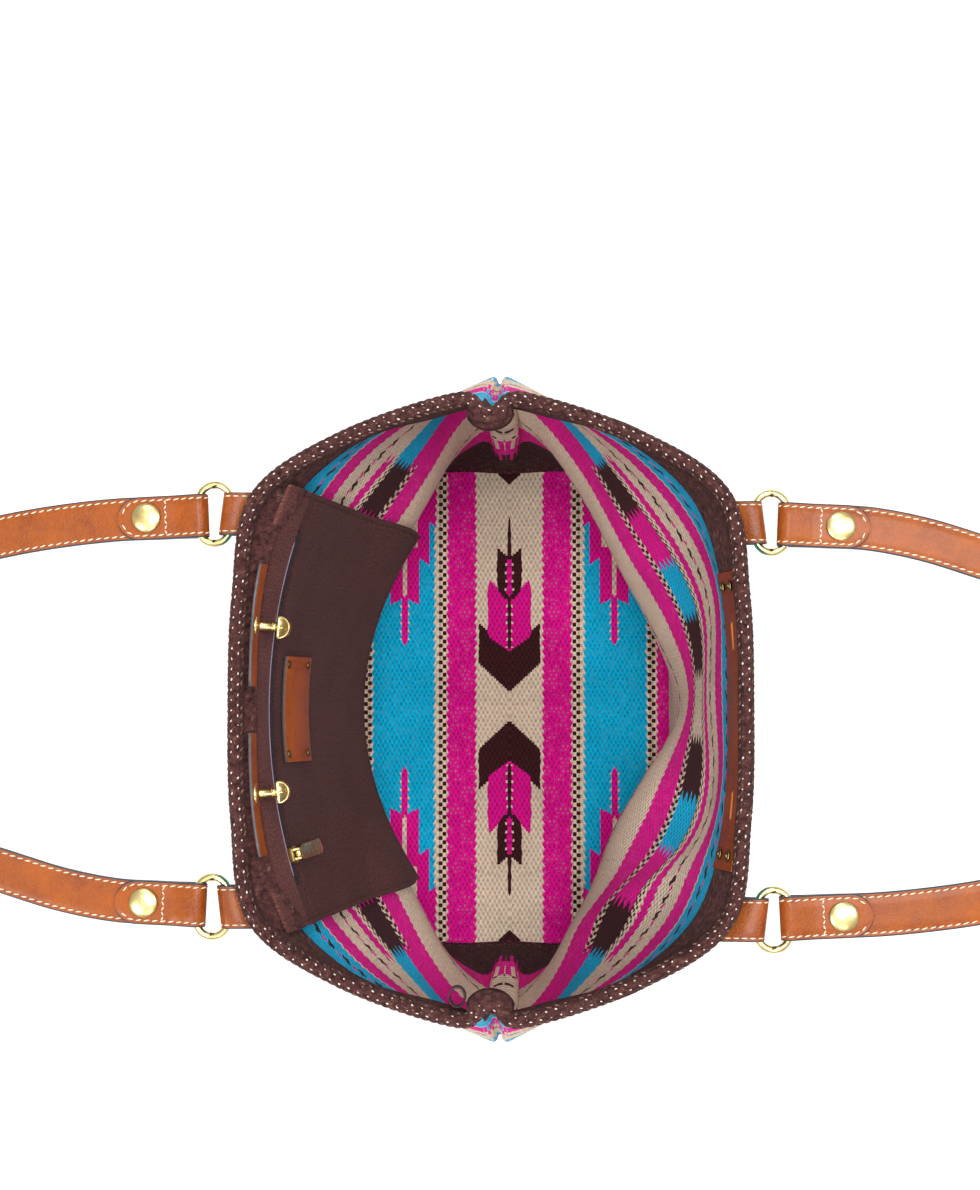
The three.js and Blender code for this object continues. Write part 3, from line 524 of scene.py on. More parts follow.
    def profile(points, distance):
        stops = [(d / FIGURES_REACH, (w / FIGURES_REACH,) * 3) for d, w in ((0, 0), *points)]
        ramp = add("ValToRGB", add("DIVIDE", distance, FIGURES_REACH * MM), stops=stops)
        return add("MULTIPLY", ramp, FIGURES_REACH * MM)

    def figure(below, yarn, points, hole=None, reach=side, distance=snapped):
        mask = add("LESS_THAN", reach, profile(points, distance))
        if hole:
            open_at = add("GREATER_THAN", reach, profile(hole, distance))
            mask = add("MULTIPLY", mask, open_at)
        return dyed(below, yarn, mask)

    base = figure(base, brown, [(9, 0), (9.1, 1.5), (26, 19.6), (52, 19.6), (52.2, 0), (130, 0)],
                  hole=[(36, 0), (44.5, 11.6), (52, 19.8), (130, 20)])
    base = figure(base, magenta, [(34, 0), (34.1, 1), (37, 5), (42.5, 12.8), (46, 13.8),
                                  (70, 13.8), (79, 13), (79.2, 0), (130, 0)],
                  hole=[(66, 0), (79, 12.2), (130, 12.2)])
    base = figure(base, brown, [(66, 0), (67.5, 3.6), (72, 6.8), (76, 7.8), (99, 7.8),
                                (99.2, 0), (130, 0)],
                  hole=[(93, 0), (99, 7), (130, 7)])
    base = figure(base, magenta, [(69, 0), (69.2, 1.6), (92, 1.6), (92.2, 0), (130, 0)])
    base = figure(base, brown, [(35.5, 0), (35.7, 1.2), (67, 1.2), (67.2, 0), (130, 0)])
    base = figure(base, brown, [(92, 0), (92.2, 1.3), (114, 1.0), (118, 0.5), (118.2, 0),
                                (130, 0)])

    # Stepped feathers in the turquoise stripes, with a cream quill
    leaning = add("SNAP", add("ADD", size_u, add("MULTIPLY", off, 0.8)), warp / 2)
    feather = figure(base, magenta, [(38, 0), (40, 1.2), (44, 2.0), (70, 2.0), (70.2, 9.1),
                                     (101, 9.1), (101.2, 15.6), (129.8, 15.6), (130, 22)],
                     reach=off, distance=leaning)
    feather = figure(feather, cream, [(69, 0), (69.2, 1.3), (100, 1.4), (100.2, 8), (129, 8),
                                      (130, 14)], reach=off)
    base = dyed(base, feather, inside(edge_v, 46.6, 86.9))

    # The seam's allowance is dark: its top, and the tongue that lies on the floor
    top = add("MULTIPLY", add("GREATER_THAN", size_u, 249 * MM), add("GREATER_THAN", v, 350 * MM))
    slant = add("MULTIPLY", add("SUBTRACT", size_u, 141 * MM), 1.1)
    tongue = add("LESS_THAN", v, add("MINIMUM", slant, 7 * MM))
    base = dyed(base, brown, add("MAXIMUM", top, tongue))

    # The bare warp shows as pale stitches beside the figures' thin lines and straight sides
    beat = add("LESS_THAN", add("PINGPONG", add("DIVIDE", u, 2 * warp), 0.5), 0.16)
    for at, low, high, reach in ((1.6, 37, 66, side), (2.3, 72, 91, side), (20.0, 25, 50, side),
                                 (2.5, 42, 68, off)):
        close = add("LESS_THAN", add("ABSOLUTE", add("SUBTRACT", reach, at * MM)), 0.55 * MM)
        mask = add("MULTIPLY", add("MULTIPLY", close, beat), inside(size_u, low, high))
        base = dyed(base, cream, mask)

    # The yarns: plump grains, staggered from pick to pick; painted shade darkens the gaps
    thin = add("POWER", add("MULTIPLY", add("SUBTRACT", 1.0, grain), 0.5), 1.9)
    plump = add("SUBTRACT", 1.0, thin)
    fibre = add("TexNoise", spot, None, 1400.0, 3.0, 0.6, noise_dimensions="2D")
    patchy = add("TexNoise", spot, None, 40.0, 3.0, 0.6, noise_dimensions="2D")
    lumps = add("TexNoise", spot, None, 420.0, 2.0, 0.5, noise_dimensions="2D")
    shade = add("ADD", add("MULTIPLY", plump, 0.50), add("ADD", 0.15, add("MULTIPLY", fibre, 0.30)))
    shade = add("ADD", shade, add("MULTIPLY", lumps, 0.50))
    shade = add("MULTIPLY", shade, add("ADD", 0.82, add("MULTIPLY", patchy, 0.36)))
    add("MixRGB", 1.0, base, shade, blend_type="MULTIPLY", to=shader.inputs["Base Color"])
    height = add("ADD", plump, add("MULTIPLY", fibre, 0.6))
    add("Bump", 1.0, 0.7 * MM, None, height, to=shader.inputs["Normal"])
    return made


def grey(value):
    return (value,) * 3


def edge_material(colours):
    """Twined wool cord of the rolled edge: hairy, dark, with paler fibres between the plies"""
    made, add, shader = material("twined_wool_edge", {
        "Roughness": 0.95, "Sheen Weight": 0.03, "Specular IOR Level": 0.1})
    spot = add("TexCoord", out=3)
    hairs = add("TexNoise", spot, None, 900.0, 4.0, 0.7)
    clumps = add("TexNoise", spot, None, 300.0, 3.0, 0.6)
    edge, tan = colours.edge, colour("#9A7A5E")
    tone = add("ValToRGB", clumps, stops=[
        (0.30, [c * 0.35 for c in edge]), (0.50, edge), (0.62, [c * 1.3 for c in edge]),
        (0.74, [mix(a, b, 0.6) for a, b in zip(edge, tan)])])
    lift = add("ValToRGB", hairs, stops=[(0.3, grey(0.55)), (0.75, grey(1.35))])
    add("MixRGB", 1.0, tone, lift, blend_type="MULTIPLY", to=shader.inputs["Base Color"])
    add("Bump", 1.0, 0.8 * MM, None, add("ADD", hairs, clumps), to=shader.inputs["Normal"])
    return made


def fleck_material():
    """Undyed cotton warp where it shows between the twined yarns"""
    made, add, shader = material("undyed_warp", {"Roughness": 0.7})
    fibres = add("TexNoise", add("TexCoord", out=3), None, 1500.0, 3.0, 0.6)
    add("ValToRGB", fibres, stops=[(0.3, (0.55, 0.47, 0.38)), (0.7, (0.95, 0.9, 0.82))],
        to=shader.inputs["Base Color"])
    return made


def twill_material(name, base, pitch=0.9 * MM, upright=False):
    """Cotton twill: fine ribs, matt, diagonal or upright. They are drawn twice as coarse as they
    are, because the real ones are too fine to show."""
    made, add, shader = material(name, {
        "Roughness": 0.9, "Sheen Weight": 0.04, "Specular IOR Level": 0.15})
    spot = add("UVMap", uv_map="cloth")
    u = add("SeparateXYZ", spot)
    diagonal = add("ADD", u, add("MULTIPLY", u.node.outputs[1], 0.0 if upright else 1.0))
    rib = add("SINE", add("MULTIPLY", diagonal, 2 * math.pi / pitch / math.sqrt(2)))
    yarn = add("TexNoise", spot, None, 850.0, 3.0, 0.7, noise_dimensions="2D")
    cloud = add("TexNoise", spot, None, 30.0, 3.0, 0.6, noise_dimensions="2D")
    tone = add("ValToRGB", yarn, stops=[(0.32, [c * 0.45 for c in base]),
                                        (0.68, [c * 1.5 for c in base])])
    drift = add("ValToRGB", cloud, stops=[(0.3, grey(0.88)), (0.7, grey(1.1))])
    add("MixRGB", 1.0, tone, drift, blend_type="MULTIPLY", to=shader.inputs["Base Color"])
    add("Bump", 1.0, 0.12 * MM, None, add("ADD", rib, yarn), to=shader.inputs["Normal"])
    return made


def leather_material(name, base, rough=0.42, grain=0.9 * MM):
    """Vegetable-tanned leather, milled and waxed: fine pebbled grain, pulled darker in places
    and a little paler in others, at random, with a satin shine."""
    made, add, shader = material(name, {
        "Specular IOR Level": 0.20, "Coat Weight": 0.16, "Coat Roughness": 0.22})
    spot = add("TexCoord", out=3)
    pores = add("TexVoronoi", spot, None, 1 / grain, feature="SMOOTH_F1")
    clouds = add("TexNoise", spot, None, 55.0, 4.0, 0.6)
    fine = add("TexNoise", spot, None, 900.0, 3.0, 0.6)
    creases = add("TexNoise", spot, None, 260.0, 2.0, 0.5)
    tone = add("ValToRGB", clouds, stops=[
        (0.28, [c * k for c, k in zip(base, (0.72, 0.6, 0.5))]), (0.50, base),
        (0.74, [min(1, c * k) for c, k in zip(base, (1.22, 1.3, 1.45))])])
    speck = add("ValToRGB", fine, stops=[(0.3, (0.86, 0.84, 0.8)), (0.7, grey(1.08))])
    add("MixRGB", 1.0, tone, speck, blend_type="MULTIPLY", to=shader.inputs["Base Color"])
    add("MapRange", clouds, 0.3, 0.7, rough - 0.08, rough + 0.12, to=shader.inputs["Roughness"])
    height = add("ADD", pores, add("MULTIPLY", creases, 0.7))
    add("Bump", 1.0, 0.34 * MM, None, height, to=shader.inputs["Normal"])
    return made


def plain_material(name, tone, rough, spread=0.25, scale=400.0):
    """A thin finish, such as edge paint or thread, with slight mottling"""
    made, add, shader = material(name, {"Roughness": rough})
    noise = add("TexNoise", add("TexCoord", out=3), None, scale, 3.0, 0.6)
    add("ValToRGB", noise, stops=[(0.3, [c * (1 - spread) for c in tone]),
                                  (0.7, [min(1, c * (1 + spread)) for c in tone])],
        to=shader.inputs["Base Color"])
    add("Bump", 1.0, 0.08 * MM, None, noise, to=shader.inputs["Normal"])
    return made


def brass_material(name, base):
    """Zinc casting, brass plated and antiqued: brighter and smoother in some patches, browner in
    others, at random
    """
    made, add, shader = material(name, {"Metallic": 1.0})
    spot = add("TexCoord", out=3)
    cloud = add("TexNoise", spot, None, 140.0, 4.0, 0.65)
    fine = add("TexNoise", spot, None, 1200.0, 3.0, 0.6)
    add("ValToRGB", cloud, to=shader.inputs["Base Color"], stops=[
        (0.30, [c * k for c, k in zip(base, (0.6, 0.52, 0.42))]), (0.55, base),
        (0.75, [min(1, c * 1.18) for c in base])])
    add("MapRange", cloud, 0.3, 0.7, 0.36, 0.2, to=shader.inputs["Roughness"])
    add("Bump", 1.0, 0.02 * MM, None, fine, to=shader.inputs["Normal"])
    return made


FINISHES = {}


def make_finishes():
    colours = bpy.context.scene.tote_colours
    FINISHES.update(
        wool=wool_material(colours, body_sizes().warp),
        edge=edge_material(colours),
        fleck=fleck_material(),
        twill=twill_material("cotton_twill", colours.twill),
        ribbed=twill_material("ribbed_facing", [c * 1.55 for c in colours.twill], 1.5 * MM, True),
        cognac=leather_material("bridle_leather", colours.cognac),
        saddle=leather_material("saddle_leather", colours.saddle, 0.5),
        waxed=leather_material("waxed_cowhide", [c * 1.3 for c in colours.cognac], 0.4),
        paint=plain_material("edge_paint", colour("#26303A"), 0.45),
        raw=plain_material("raw_leather_edge", colour("#C0701F"), 0.7),
        burnt=plain_material("burnished_edge", colour("#2E140C"), 0.5),
        thread=plain_material("waxed_thread", colours.thread, 0.6, 0.12, 1500.0),
        brown_thread=plain_material("brown_thread", colour("#3A201E"), 0.7),
        tape=plain_material("zip_tape", colour("#2A1A1C"), 0.8, 0.3, 900.0),
        # The zip's lip: lilac grey, paler than its tape, as a painted highlight along its edge
        coil=plain_material("zip_coil", colour("#7A6678"), 0.45, 0.15, 300.0),
        ply=plain_material("twined_ply", colour("#7A5A4C"), 0.95, 0.45, 700.0),
        orange=plain_material("orange_lint", colour("#D8641E"), 0.8),
        green=plain_material("green_lint", colour("#57C21C"), 0.8),
        # Dark edge paint, lightened to blue grey as a painted sheen on the plates' top edges
        slate=plain_material("slate_edge_paint", colour("#4C5660"), 0.5),
        brass=brass_material("antique_brass_plate", colours.brass),
        bronze=brass_material("dark_bronze_plate", [c * 0.45 for c in colours.brass]),
    )


# The woven body

CLOTH_HALF_LENGTH = 0.256
FLOOR_ROWS = 18


def body_rows(form, count):
    """The body's skin from the middle of the floor inside to the middle under it. Each row has
    its points, and its height on the wall, or None on the floor."""
    rows = []

    def add_row(z, depth, height):
        ring = form.inset(z, depth)
        rows.append((np.column_stack([ring, np.full(len(ring), height)]), height))

    def add_floor(depth, height, shares):
        ring = form.inset(0, depth)
        for share in shares:
            rows.append((np.column_stack([ring * share, np.full(len(ring), height)]), None))

    hem_foot = form.height - HEM_DROP
    roll_foot = form.height - ROLL_HEIGHT
    add_floor(form.cloth, form.cloth, np.linspace(0.02, 1, FLOOR_ROWS))
    for z in np.linspace(form.cloth * 1.5, hem_foot, count):
        add_row(z, form.lining(z, form.cloth), z)
    for z in np.linspace(hem_foot + 0.003, roll_foot, 6):
        add_row(z, form.lining(z, form.cloth), z)
    add_row(form.height, ROLL_WIDTH * 0.6, roll_foot + 0.004)
    add_row(form.height, ROLL_WIDTH * 0.4, roll_foot + 0.004)
    for z in np.linspace(roll_foot, form.cloth * 1.5, count):
        add_row(z, 0.0, z)
    add_floor(form.cloth / 2, 0.0, np.linspace(1, 0.02, FLOOR_ROWS))
    return rows


def woven_cloth():
    body = body_sizes()
    form = BodyForm(body, body.columns)
    rows = body_rows(form, body.rows)
    shares = np.append(form.shares, 1.0)
    along = CLOTH_HALF_LENGTH * (1 - 4 * np.minimum(shares, 1 - shares))

    def cloth_map(spots, face):
        if all(rows[j][1] is None for j, _ in spots):
            return [(loop.vert.co.y, abs(loop.vert.co.x)) for loop in face.loops]
        return [(along[i], FLOOR[0] / 2 + (rows[j][1] or 0)) for j, i in spots]

    bm = bmesh.new()
    grid(bm, [row for row, _ in rows], round_columns=True, uv=cloth_map)
    close_ends(bm)
    piece = finished("woven_cloth", bm, FINISHES["wool"])
    dress(piece, "bag", "woven_wool", "woven_body")


# The hem and rolled edge

PLY = 0.0042
PLIES_ROUND = 5


def rolled_edge():
    """A closed band that covers the top of the cloth: the roll, with its plies, and the hem"""
    body = body_sizes()
    form = BodyForm(body, 900)
    hem_foot = form.height - HEM_DROP
    roll_foot = form.height - ROLL_HEIGHT
    bundle = SEAM_BUNDLE / ROLL_BREADTH
    outline = form.outline(form.height)
    around = np.concatenate([[0], np.cumsum(np.linalg.norm(np.diff(outline, axis=0), axis=1))])
    rows = []

    def add_row(z, depth, height):
        ring = form.inset(z, depth)
        rows.append(np.column_stack([ring, np.full(len(ring), height)]))

    add_row(roll_foot - 0.004, 0.001, roll_foot - 0.004)
    add_row(roll_foot - 0.004, -0.0006, roll_foot - 0.0035)
    for turn in np.linspace(0.0, 1.0, 25):
        plies = np.abs(np.sin(math.pi * (around / PLY + turn * PLIES_ROUND)))
        groove = 0.0005 * abs(math.sin(math.pi * turn * PLIES_ROUND))
        swell = 0.0010 * plies + groove - 0.0009
        reach = ROLL_BREADTH / 2 + swell
        across = ROLL_BREADTH / 2 - 0.0004 - reach * math.cos(math.pi * turn)
        wide = 1 + (bundle - 1) * ridge(outline[:, 0], 0.0095) * smooth(turn, 0.3, 1.0)
        height = roll_foot + (ROLL_HEIGHT + 0.0003 + swell) * math.sin(math.pi * turn)
        ring = form.inset(form.height, across * wide)
        rows.append(np.column_stack([ring, height]))
    for z in np.linspace(roll_foot - 0.003, hem_foot + 0.001, 14):
        share = (z - hem_foot) / (roll_foot - hem_foot)
        add_row(z, form.lining(z, mix(HEM_FOOT, HEM_TOP, share) + 0.0004), z)
    add_row(hem_foot, form.lining(hem_foot, HEM_FOOT - 0.001), hem_foot)
    add_row(hem_foot, form.lining(hem_foot, form.cloth - 0.001), hem_foot + 0.0005)
    for z in (hem_foot + 0.01, roll_foot - 0.006):
        add_row(z, 0.001, z)
    bm = bmesh.new()
    grid(bm, rows, round_rows=True, round_columns=True)
    dress(finished("rolled_edge", bm, FINISHES["edge"]), "bag", "woven_wool", "woven_body")


FLECK_PITCH = 0.0052


def twist_grains(bm, form, random, turn, pitch, phase, rise, missing, lean, long, wide, tall):
    """Grains that twist round the roll, in a row at one turn of it; a share of them is missing.
    Their lean, length and width are drawn from ranges."""
    ring = form.inset(form.height, ROLL_BREADTH / 2 * (1 - math.cos(math.pi * turn)) - 0.0003)
    ring = np.vstack([ring, ring[:1]])
    count = int(np.linalg.norm(np.diff(ring, axis=0), axis=1).sum() / pitch)
    shares = (np.arange(count) + phase) / count % 1
    places = along_line(ring, shares)
    ahead = along_line(ring, np.minimum(shares + 0.0005, 1.0))
    ahead -= along_line(ring, np.maximum(shares - 0.0005, 0))
    height = form.height - ROLL_HEIGHT + (ROLL_HEIGHT + rise) * math.sin(math.pi * turn)
    for place, along in zip(places, ahead):
        if random.random() < missing or np.linalg.norm(along) < 1e-6:
            continue
        run = Vector((along[0], along[1], 0)).normalized()
        run = run + Vector((run.y, -run.x, 0)) * random.normal(*lean)
        size = (random.uniform(*long) * MM, random.uniform(*wide) * MM, tall * MM)
        bead(bm, (place[0], place[1], height), run, (0, 0, 1), size)


def edge_flecks():
    """The pale warp shows between the plies of the roll as two staggered rows of flecks, and tan
    plies twist over the dark ones"""
    form = BodyForm(body_sizes(), 1800)
    random = np.random.default_rng(7)
    bm = bmesh.new()
    for turn, phase in ((0.40, 0.0), (0.66, 0.5)):
        twist_grains(bm, form, random, turn, FLECK_PITCH, phase, 0.0002, 0.12, (0.4, 0.25),
                     (1.0, 2.1), (0.65, 1.05), 0.9)
    dress(finished("edge_flecks", bm, FINISHES["fleck"]), "bag", "woven_wool", "woven_body")
    bm = bmesh.new()
    for turn in (0.22, 0.5, 0.8):
        twist_grains(bm, form, random, turn, PLY, random.uniform(0, 1), -0.0002, 0.35, (0.5, 0.2),
                     (2.2, 3.6), (0.7, 1.1), 1.3)
    dress(finished("edge_plies", bm, FINISHES["ply"]), "bag", "woven_wool")

    # Two stray threads are caught in the edge
    for name, place in (("orange", (-0.0545, 0.1435, 0.2985)),
                        ("green", (0.1315, 0.018, 0.2965))):
        bm = bmesh.new()
        bead(bm, place, (1, 0.4, 0.2), (0, 0, 1), (2.6 * MM, 0.7 * MM, 0.7 * MM))
        dress(finished(f"{name}_thread_end", bm, FINISHES[name]), "bag", "woven_wool")


# Straps

def section(half, thick, radius, groove=0.0, margin=0.0):
    """A strap's cross-section as pairs of across and out: rounded edges, and on both faces a
    shallow channel where the stitches lie"""
    radius = min(radius, half * 0.9, thick * 0.49)
    turns = [math.radians(a) for a in (90, 55, 20)]
    corner = [(half - radius + radius * math.cos(a), thick / 2 - radius + radius * math.sin(a))
              for a in turns]
    shelf = half - radius - min(0.0004, half * 0.1)
    face = [0.0, shelf * 0.5]
    dips = [0.0, 0.0]
    if groove and half > 2 * margin:
        face += [half - margin - 0.0008, half - margin, half - margin + 0.0008]
        dips += [0.0, groove, 0.0]
    else:
        face += [shelf * 0.7, shelf * 0.8, shelf * 0.9]
        dips += [0.0, 0.0, 0.0]
    top = [(x, thick / 2 - dip) for x, dip in zip(face, dips)] + [(shelf, thick / 2)] + corner
    right = top + [(x, -y) for x, y in top[::-1]]
    left = [(-x, y) for x, y in right[1:-1][::-1]]
    return np.array(right + left)


def sweep(bm, stations, thick, radius=0.0007, groove=0.0, margin=0.0):
    """A strap through stations of centre, width direction, normal and half width"""
    rows = []
    for centre, width, normal, half in stations:
        shape = section(half, thick, radius, groove, margin)
        rows.append(np.asarray(centre) + np.outer(shape[:, 0], width)
                    + np.outer(shape[:, 1], normal))
    grid(bm, rows, round_columns=True, paint=CUT_EDGES.__contains__)
    close_ends(bm)


# The columns of a strap's section that lie on its rounded, painted edges
CUT_EDGES = {*range(6, 12), *range(23, 29)}


THREAD = 0.0008
STITCH_SHARE = 0.86
STITCH_LEAN = 0.22
STITCH_LIFT = 0.00005


def stitch_row(bm, stations, thick, offset, pitch, face):
    """Stitches along a strap's stations, at an offset from its middle, on one face"""
    line = np.array([np.asarray(c) + np.asarray(w) * offset(h) + np.asarray(n) * face * thick / 2
                     for c, w, n, h in stations])
    normals = np.array([n for _, _, n, _ in stations])
    widths = np.array([w for _, w, _, _ in stations])
    steps = np.linalg.norm(np.diff(line, axis=0), axis=1)
    done = np.concatenate([[0], np.cumsum(steps)])
    for k in range(int(done[-1] / pitch)):
        at = (k + 0.5) * pitch
        place = part_way(at, done, line)
        along = part_way(at + pitch * 0.3, done, line) - part_way(at - pitch * 0.3, done, line)
        up = part_way(at, done, normals) * face
        along = along.normalized() + part_way(at, done, widths) * STITCH_LEAN * face
        bead(bm, place + up * STITCH_LIFT, along, up, (pitch * STITCH_SHARE, THREAD, THREAD))


def part_way(at, done, values):
    """The vector at a distance along a line, from the distances and vectors of its points"""
    return Vector([np.interp(at, done, values[:, a]) for a in range(3)])


# The handles, repeated from the frame's dimensions

RING_SPACING = 0.202
RING_LENGTH = 0.034
RING_WIDTH = 0.020
RING_BEND = 0.0081
RING_WIRE = 0.00375
RING_HEIGHT = 0.272
RING_STAND_OFF = 0.0032
RING_SPAN = RING_WIDTH - RING_WIRE
HANDLE_REACH = 0.245
HANDLE_FOLD = 0.042
TWIST_START = 0.112
TWIST_END = 0.222
WRAP_GAP = 0.0006
CROSS_DISTANCE = 0.017
CROSS_STITCHES = 7
WRAP_RUN = 0.013
WRAP_TILT = 0.2
CAP_DIAMETER = 0.015
CAP_DOME = 0.0024
CAP_DISTANCE = 0.027
GAP = 0.0003
SEAT = 0.0008
LEG = [(0, 1), (20, 1.9), (42, 2.9), (70, 7), (100, 14), (150, 28), (195, 46), (226, 68), (241, 87)]
SIDES = {"left": (-1, -0.001, 0.0036), "right": (1, -0.0065, -0.0044)}


def ends(side):
    """The two ends of a side: which way each lies and its tag"""
    return [(1, f"{side}_a"), (-1, f"{side}_b")]


def bar_x():
    return body_sizes().mouth_width / 2 + RING_STAND_OFF


def handle_line(side):
    """The handle's middle line, closely divided"""
    sign, shift, skew = SIDES[side]
    half = RING_SPACING / 2
    leg = [(d * MM, half - inward * MM) for d, inward in LEG]
    plan = leg + [(HANDLE_REACH, 0)] + [(d, -y) for d, y in leg[::-1]]
    layer = (leather_sizes().strap_leather + GAP) / 2
    points = []
    for d, y in plan:
        lean = skew * smooth(d, HANDLE_FOLD / 2, TWIST_START) * d / 0.1
        points.append((sign * (bar_x() + RING_SPAN + d), shift + y + lean, RING_HEIGHT - layer))
    return open_curve(points)


def open_curve(points, fine=60):
    """A centripetal Catmull-Rom curve through points, as a closely divided line"""
    p = np.array(points)
    p = np.vstack([2 * p[0] - p[1], p, 2 * p[-1] - p[-2]])
    gaps = np.linalg.norm(np.diff(p, axis=0), axis=1) ** 0.5
    line = []
    for i in range(1, len(p) - 2):
        a, b, c = gaps[i - 1], gaps[i], gaps[i + 1]
        m0 = ((p[i] - p[i - 1]) / a - (p[i + 1] - p[i - 1]) / (a + b) + (p[i + 1] - p[i]) / b) * b
        m1 = ((p[i + 1] - p[i]) / b - (p[i + 2] - p[i]) / (b + c) + (p[i + 2] - p[i + 1]) / c) * b
        t = (np.arange(fine) / fine)[:, None]
        line.append(p[i] * (2 * t**3 - 3 * t**2 + 1) + m0 * (t**3 - 2 * t**2 + t)
                    + p[i + 1] * (3 * t**2 - 2 * t**3) + m1 * (t**3 - t**2))
    return np.vstack([*line, p[-2:-1]])


def handle_stations(side):
    leather = leather_sizes()
    thick, wide = leather.strap_leather, leather.strap_width / 2
    line = handle_line(side)
    total = np.linalg.norm(np.diff(line, axis=0), axis=1).sum()
    layer = (thick + GAP) / 2
    turn = RING_WIRE / 2 + WRAP_GAP + thick / 2

    def fold(way):
        """One end: the tip on top, round the ring, and down to the run"""
        start, near = along_line(line, [0, 0.002] if way > 0 else [1, 0.998])
        ahead = (near - start) * (1, 1, 0)
        ahead /= np.linalg.norm(ahead)
        width = np.array([-ahead[1], ahead[0], 0]) * way
        stations = []

        def station(d, height, slope, half=wide):
            normal = -ahead * math.sin(slope)
            normal[2] = math.cos(slope)
            centre = start + ahead * d
            centre[2] = RING_HEIGHT + height
            stations.append((centre, width, normal, half))

        rounding = wide * (1 - np.cos(np.linspace(0.12, math.pi / 2, 14)))
        for s in (*rounding, wide * 1.2, wide * 1.6):
            cut_back = wide - min(s, wide)
            station(HANDLE_FOLD - s, layer, math.pi, math.sqrt(max(wide**2 - cut_back**2, 1e-9)))
        for d in np.linspace(HANDLE_FOLD - wide * 1.8, WRAP_RUN, 8):
            station(d, layer, math.pi)
        for t in np.linspace(0.15, 0.95, 6):
            tilt = WRAP_TILT * math.sin(math.pi * t)
            station(WRAP_RUN * (1 - t), mix(layer, turn, smooth(t, 0, 1)), math.pi - tilt)
        for share in np.linspace(0.5, 1.5, 15):
            angle = math.pi * share
            station(turn * math.cos(angle), turn * math.sin(angle), angle + math.pi / 2)
        for t in np.linspace(0.95, 0.15, 6):
            tilt = WRAP_TILT * math.sin(math.pi * t)
            station(WRAP_RUN * (1 - t), -mix(layer, turn, smooth(t, 0, 1)), tilt)
        return stations

    run = []
    shares = np.linspace(WRAP_RUN / total, 1 - WRAP_RUN / total, 230)
    aheads = along_line(line, np.minimum(shares + 0.002, 1))
    aheads -= along_line(line, np.maximum(shares - 0.002, 0))
    for centre, ahead in zip(along_line(line, shares), aheads):
        ahead = Vector(ahead).normalized()
        flat = Vector((-ahead.y, ahead.x, 0)).normalized()
        reach = abs(centre[0]) - bar_x() - RING_SPAN
        angle = -smooth(reach, TWIST_START, TWIST_END) * math.pi / 2
        width = Matrix.Rotation(angle, 3, ahead) @ flat
        run.append((centre, np.array(width), np.array(ahead.cross(width)), wide))
    return fold(1), run, fold(-1)[::-1]


def handle(side):
    leather = leather_sizes()
    thick = leather.strap_leather
    first, run, last = handle_stations(side)
    stations = first + run + last
    bm = bmesh.new()
    sweep(bm, stations, thick, 0.0008, 0.00025, leather.stitch_margin)
    piece = finished(f"strap_{side}", bm, FINISHES["cognac"], FINISHES["paint"])
    dress(piece, f"handle_{side}", "cognac_leather", f"handle_{side}")
    bm = bmesh.new()
    full, margin = leather.strap_width / 2, leather.stitch_margin
    tip = math.sqrt(margin * (2 * full - margin))
    for way in (1, -1):
        def offset(half, way=way):
            return way * math.sqrt(max((full - margin) ** 2 - full**2 + half**2, 0))
        for end in (first, last):
            stitch_row(bm, [s for s in end if s[3] > tip], thick, offset, leather.stitch, -1)
        for face in (1, -1):
            stitch_row(bm, run, thick, offset, leather.stitch, face)
    for end in (first, last):
        cross_stitches(bm, end, thick)
    stitches = finished(f"strap_stitches_{side}", bm, FINISHES["thread"])
    dress(stitches, f"handle_{side}", "cognac_leather")


def cross_stitches(bm, stations, thick):
    """A row of stitches that holds the folded end down, across the strap"""
    leather = leather_sizes()
    flat = [s for s in stations if s[2][2] < -0.99]
    places = np.array([s[0] for s in flat])
    reach = np.abs(places[:, 0])
    at = bar_x() + RING_SPAN + CROSS_DISTANCE
    centre = places[np.argmin(np.abs(reach - at))].copy()
    centre[0] = math.copysign(at, centre[0])
    width = Vector(flat[0][1])
    up = -Vector(flat[0][2])
    half = leather.strap_width / 2 - leather.stitch_margin
    for k in range(CROSS_STITCHES):
        across = mix(-half, half, (k + 0.5) / CROSS_STITCHES)
        lean = Vector((math.copysign(0.5, centre[0]) * (1 if k % 2 else -1), 0, 0))
        place = Vector(centre) + width * across + up * (thick / 2 + STITCH_LIFT)
        bead(bm, place, width + lean, up, (2.5 * MM, THREAD, THREAD))


def cap(side, way, tag):
    """A domed cap with its collar and the washer under the strap"""
    line = handle_line(side)
    total = np.linalg.norm(np.diff(line, axis=0), axis=1).sum()
    share = CAP_DISTANCE / total
    place = along_line(line, [share if way > 0 else 1 - share])[0]
    thick = leather_sizes().strap_leather
    top = (thick + GAP) / 2 + thick / 2 + GAP
    radius = CAP_DIAMETER / 2
    dome = [(radius * math.cos(a), top + 0.0007 + (CAP_DOME - 0.0007) * math.sin(a))
            for a in np.linspace(0.12, math.pi / 2, 12)]
    dome[-1] = (0, top + CAP_DOME)
    profile = [(0, -top - 0.001), (radius * 0.55, -top - 0.001), (radius * 0.6, -top - 0.0005),
               (radius * 0.6, -top), (0.0019, -top), (0.0019, top), (radius - 0.0005, top),
               (radius, top + 0.0003), *dome]
    bm = bmesh.new()
    spun(bm, profile, (place[0], place[1], RING_HEIGHT), (0, 0, 1), 64)
    piece = finished(f"domed_cap_{tag}", bm, FINISHES["brass"], sharp=50)
    dress(piece, f"handle_{side}", "antique_brass", f"strap_cap_{tag}")


# The rings and their tabs

def rounded_line(width, height, radius, steps=8):
    """A rounded rectangle's outline, anticlockwise"""
    line = []
    for quarter, (cx, cy) in enumerate(((1, 1), (-1, 1), (-1, -1), (1, -1))):
        for a in np.linspace(0, math.pi / 2, steps):
            angle = quarter * math.pi / 2 + a
            line.append((cx * (width / 2 - radius) + radius * math.cos(angle),
                         cy * (height / 2 - radius) + radius * math.sin(angle)))
    return np.array(line)


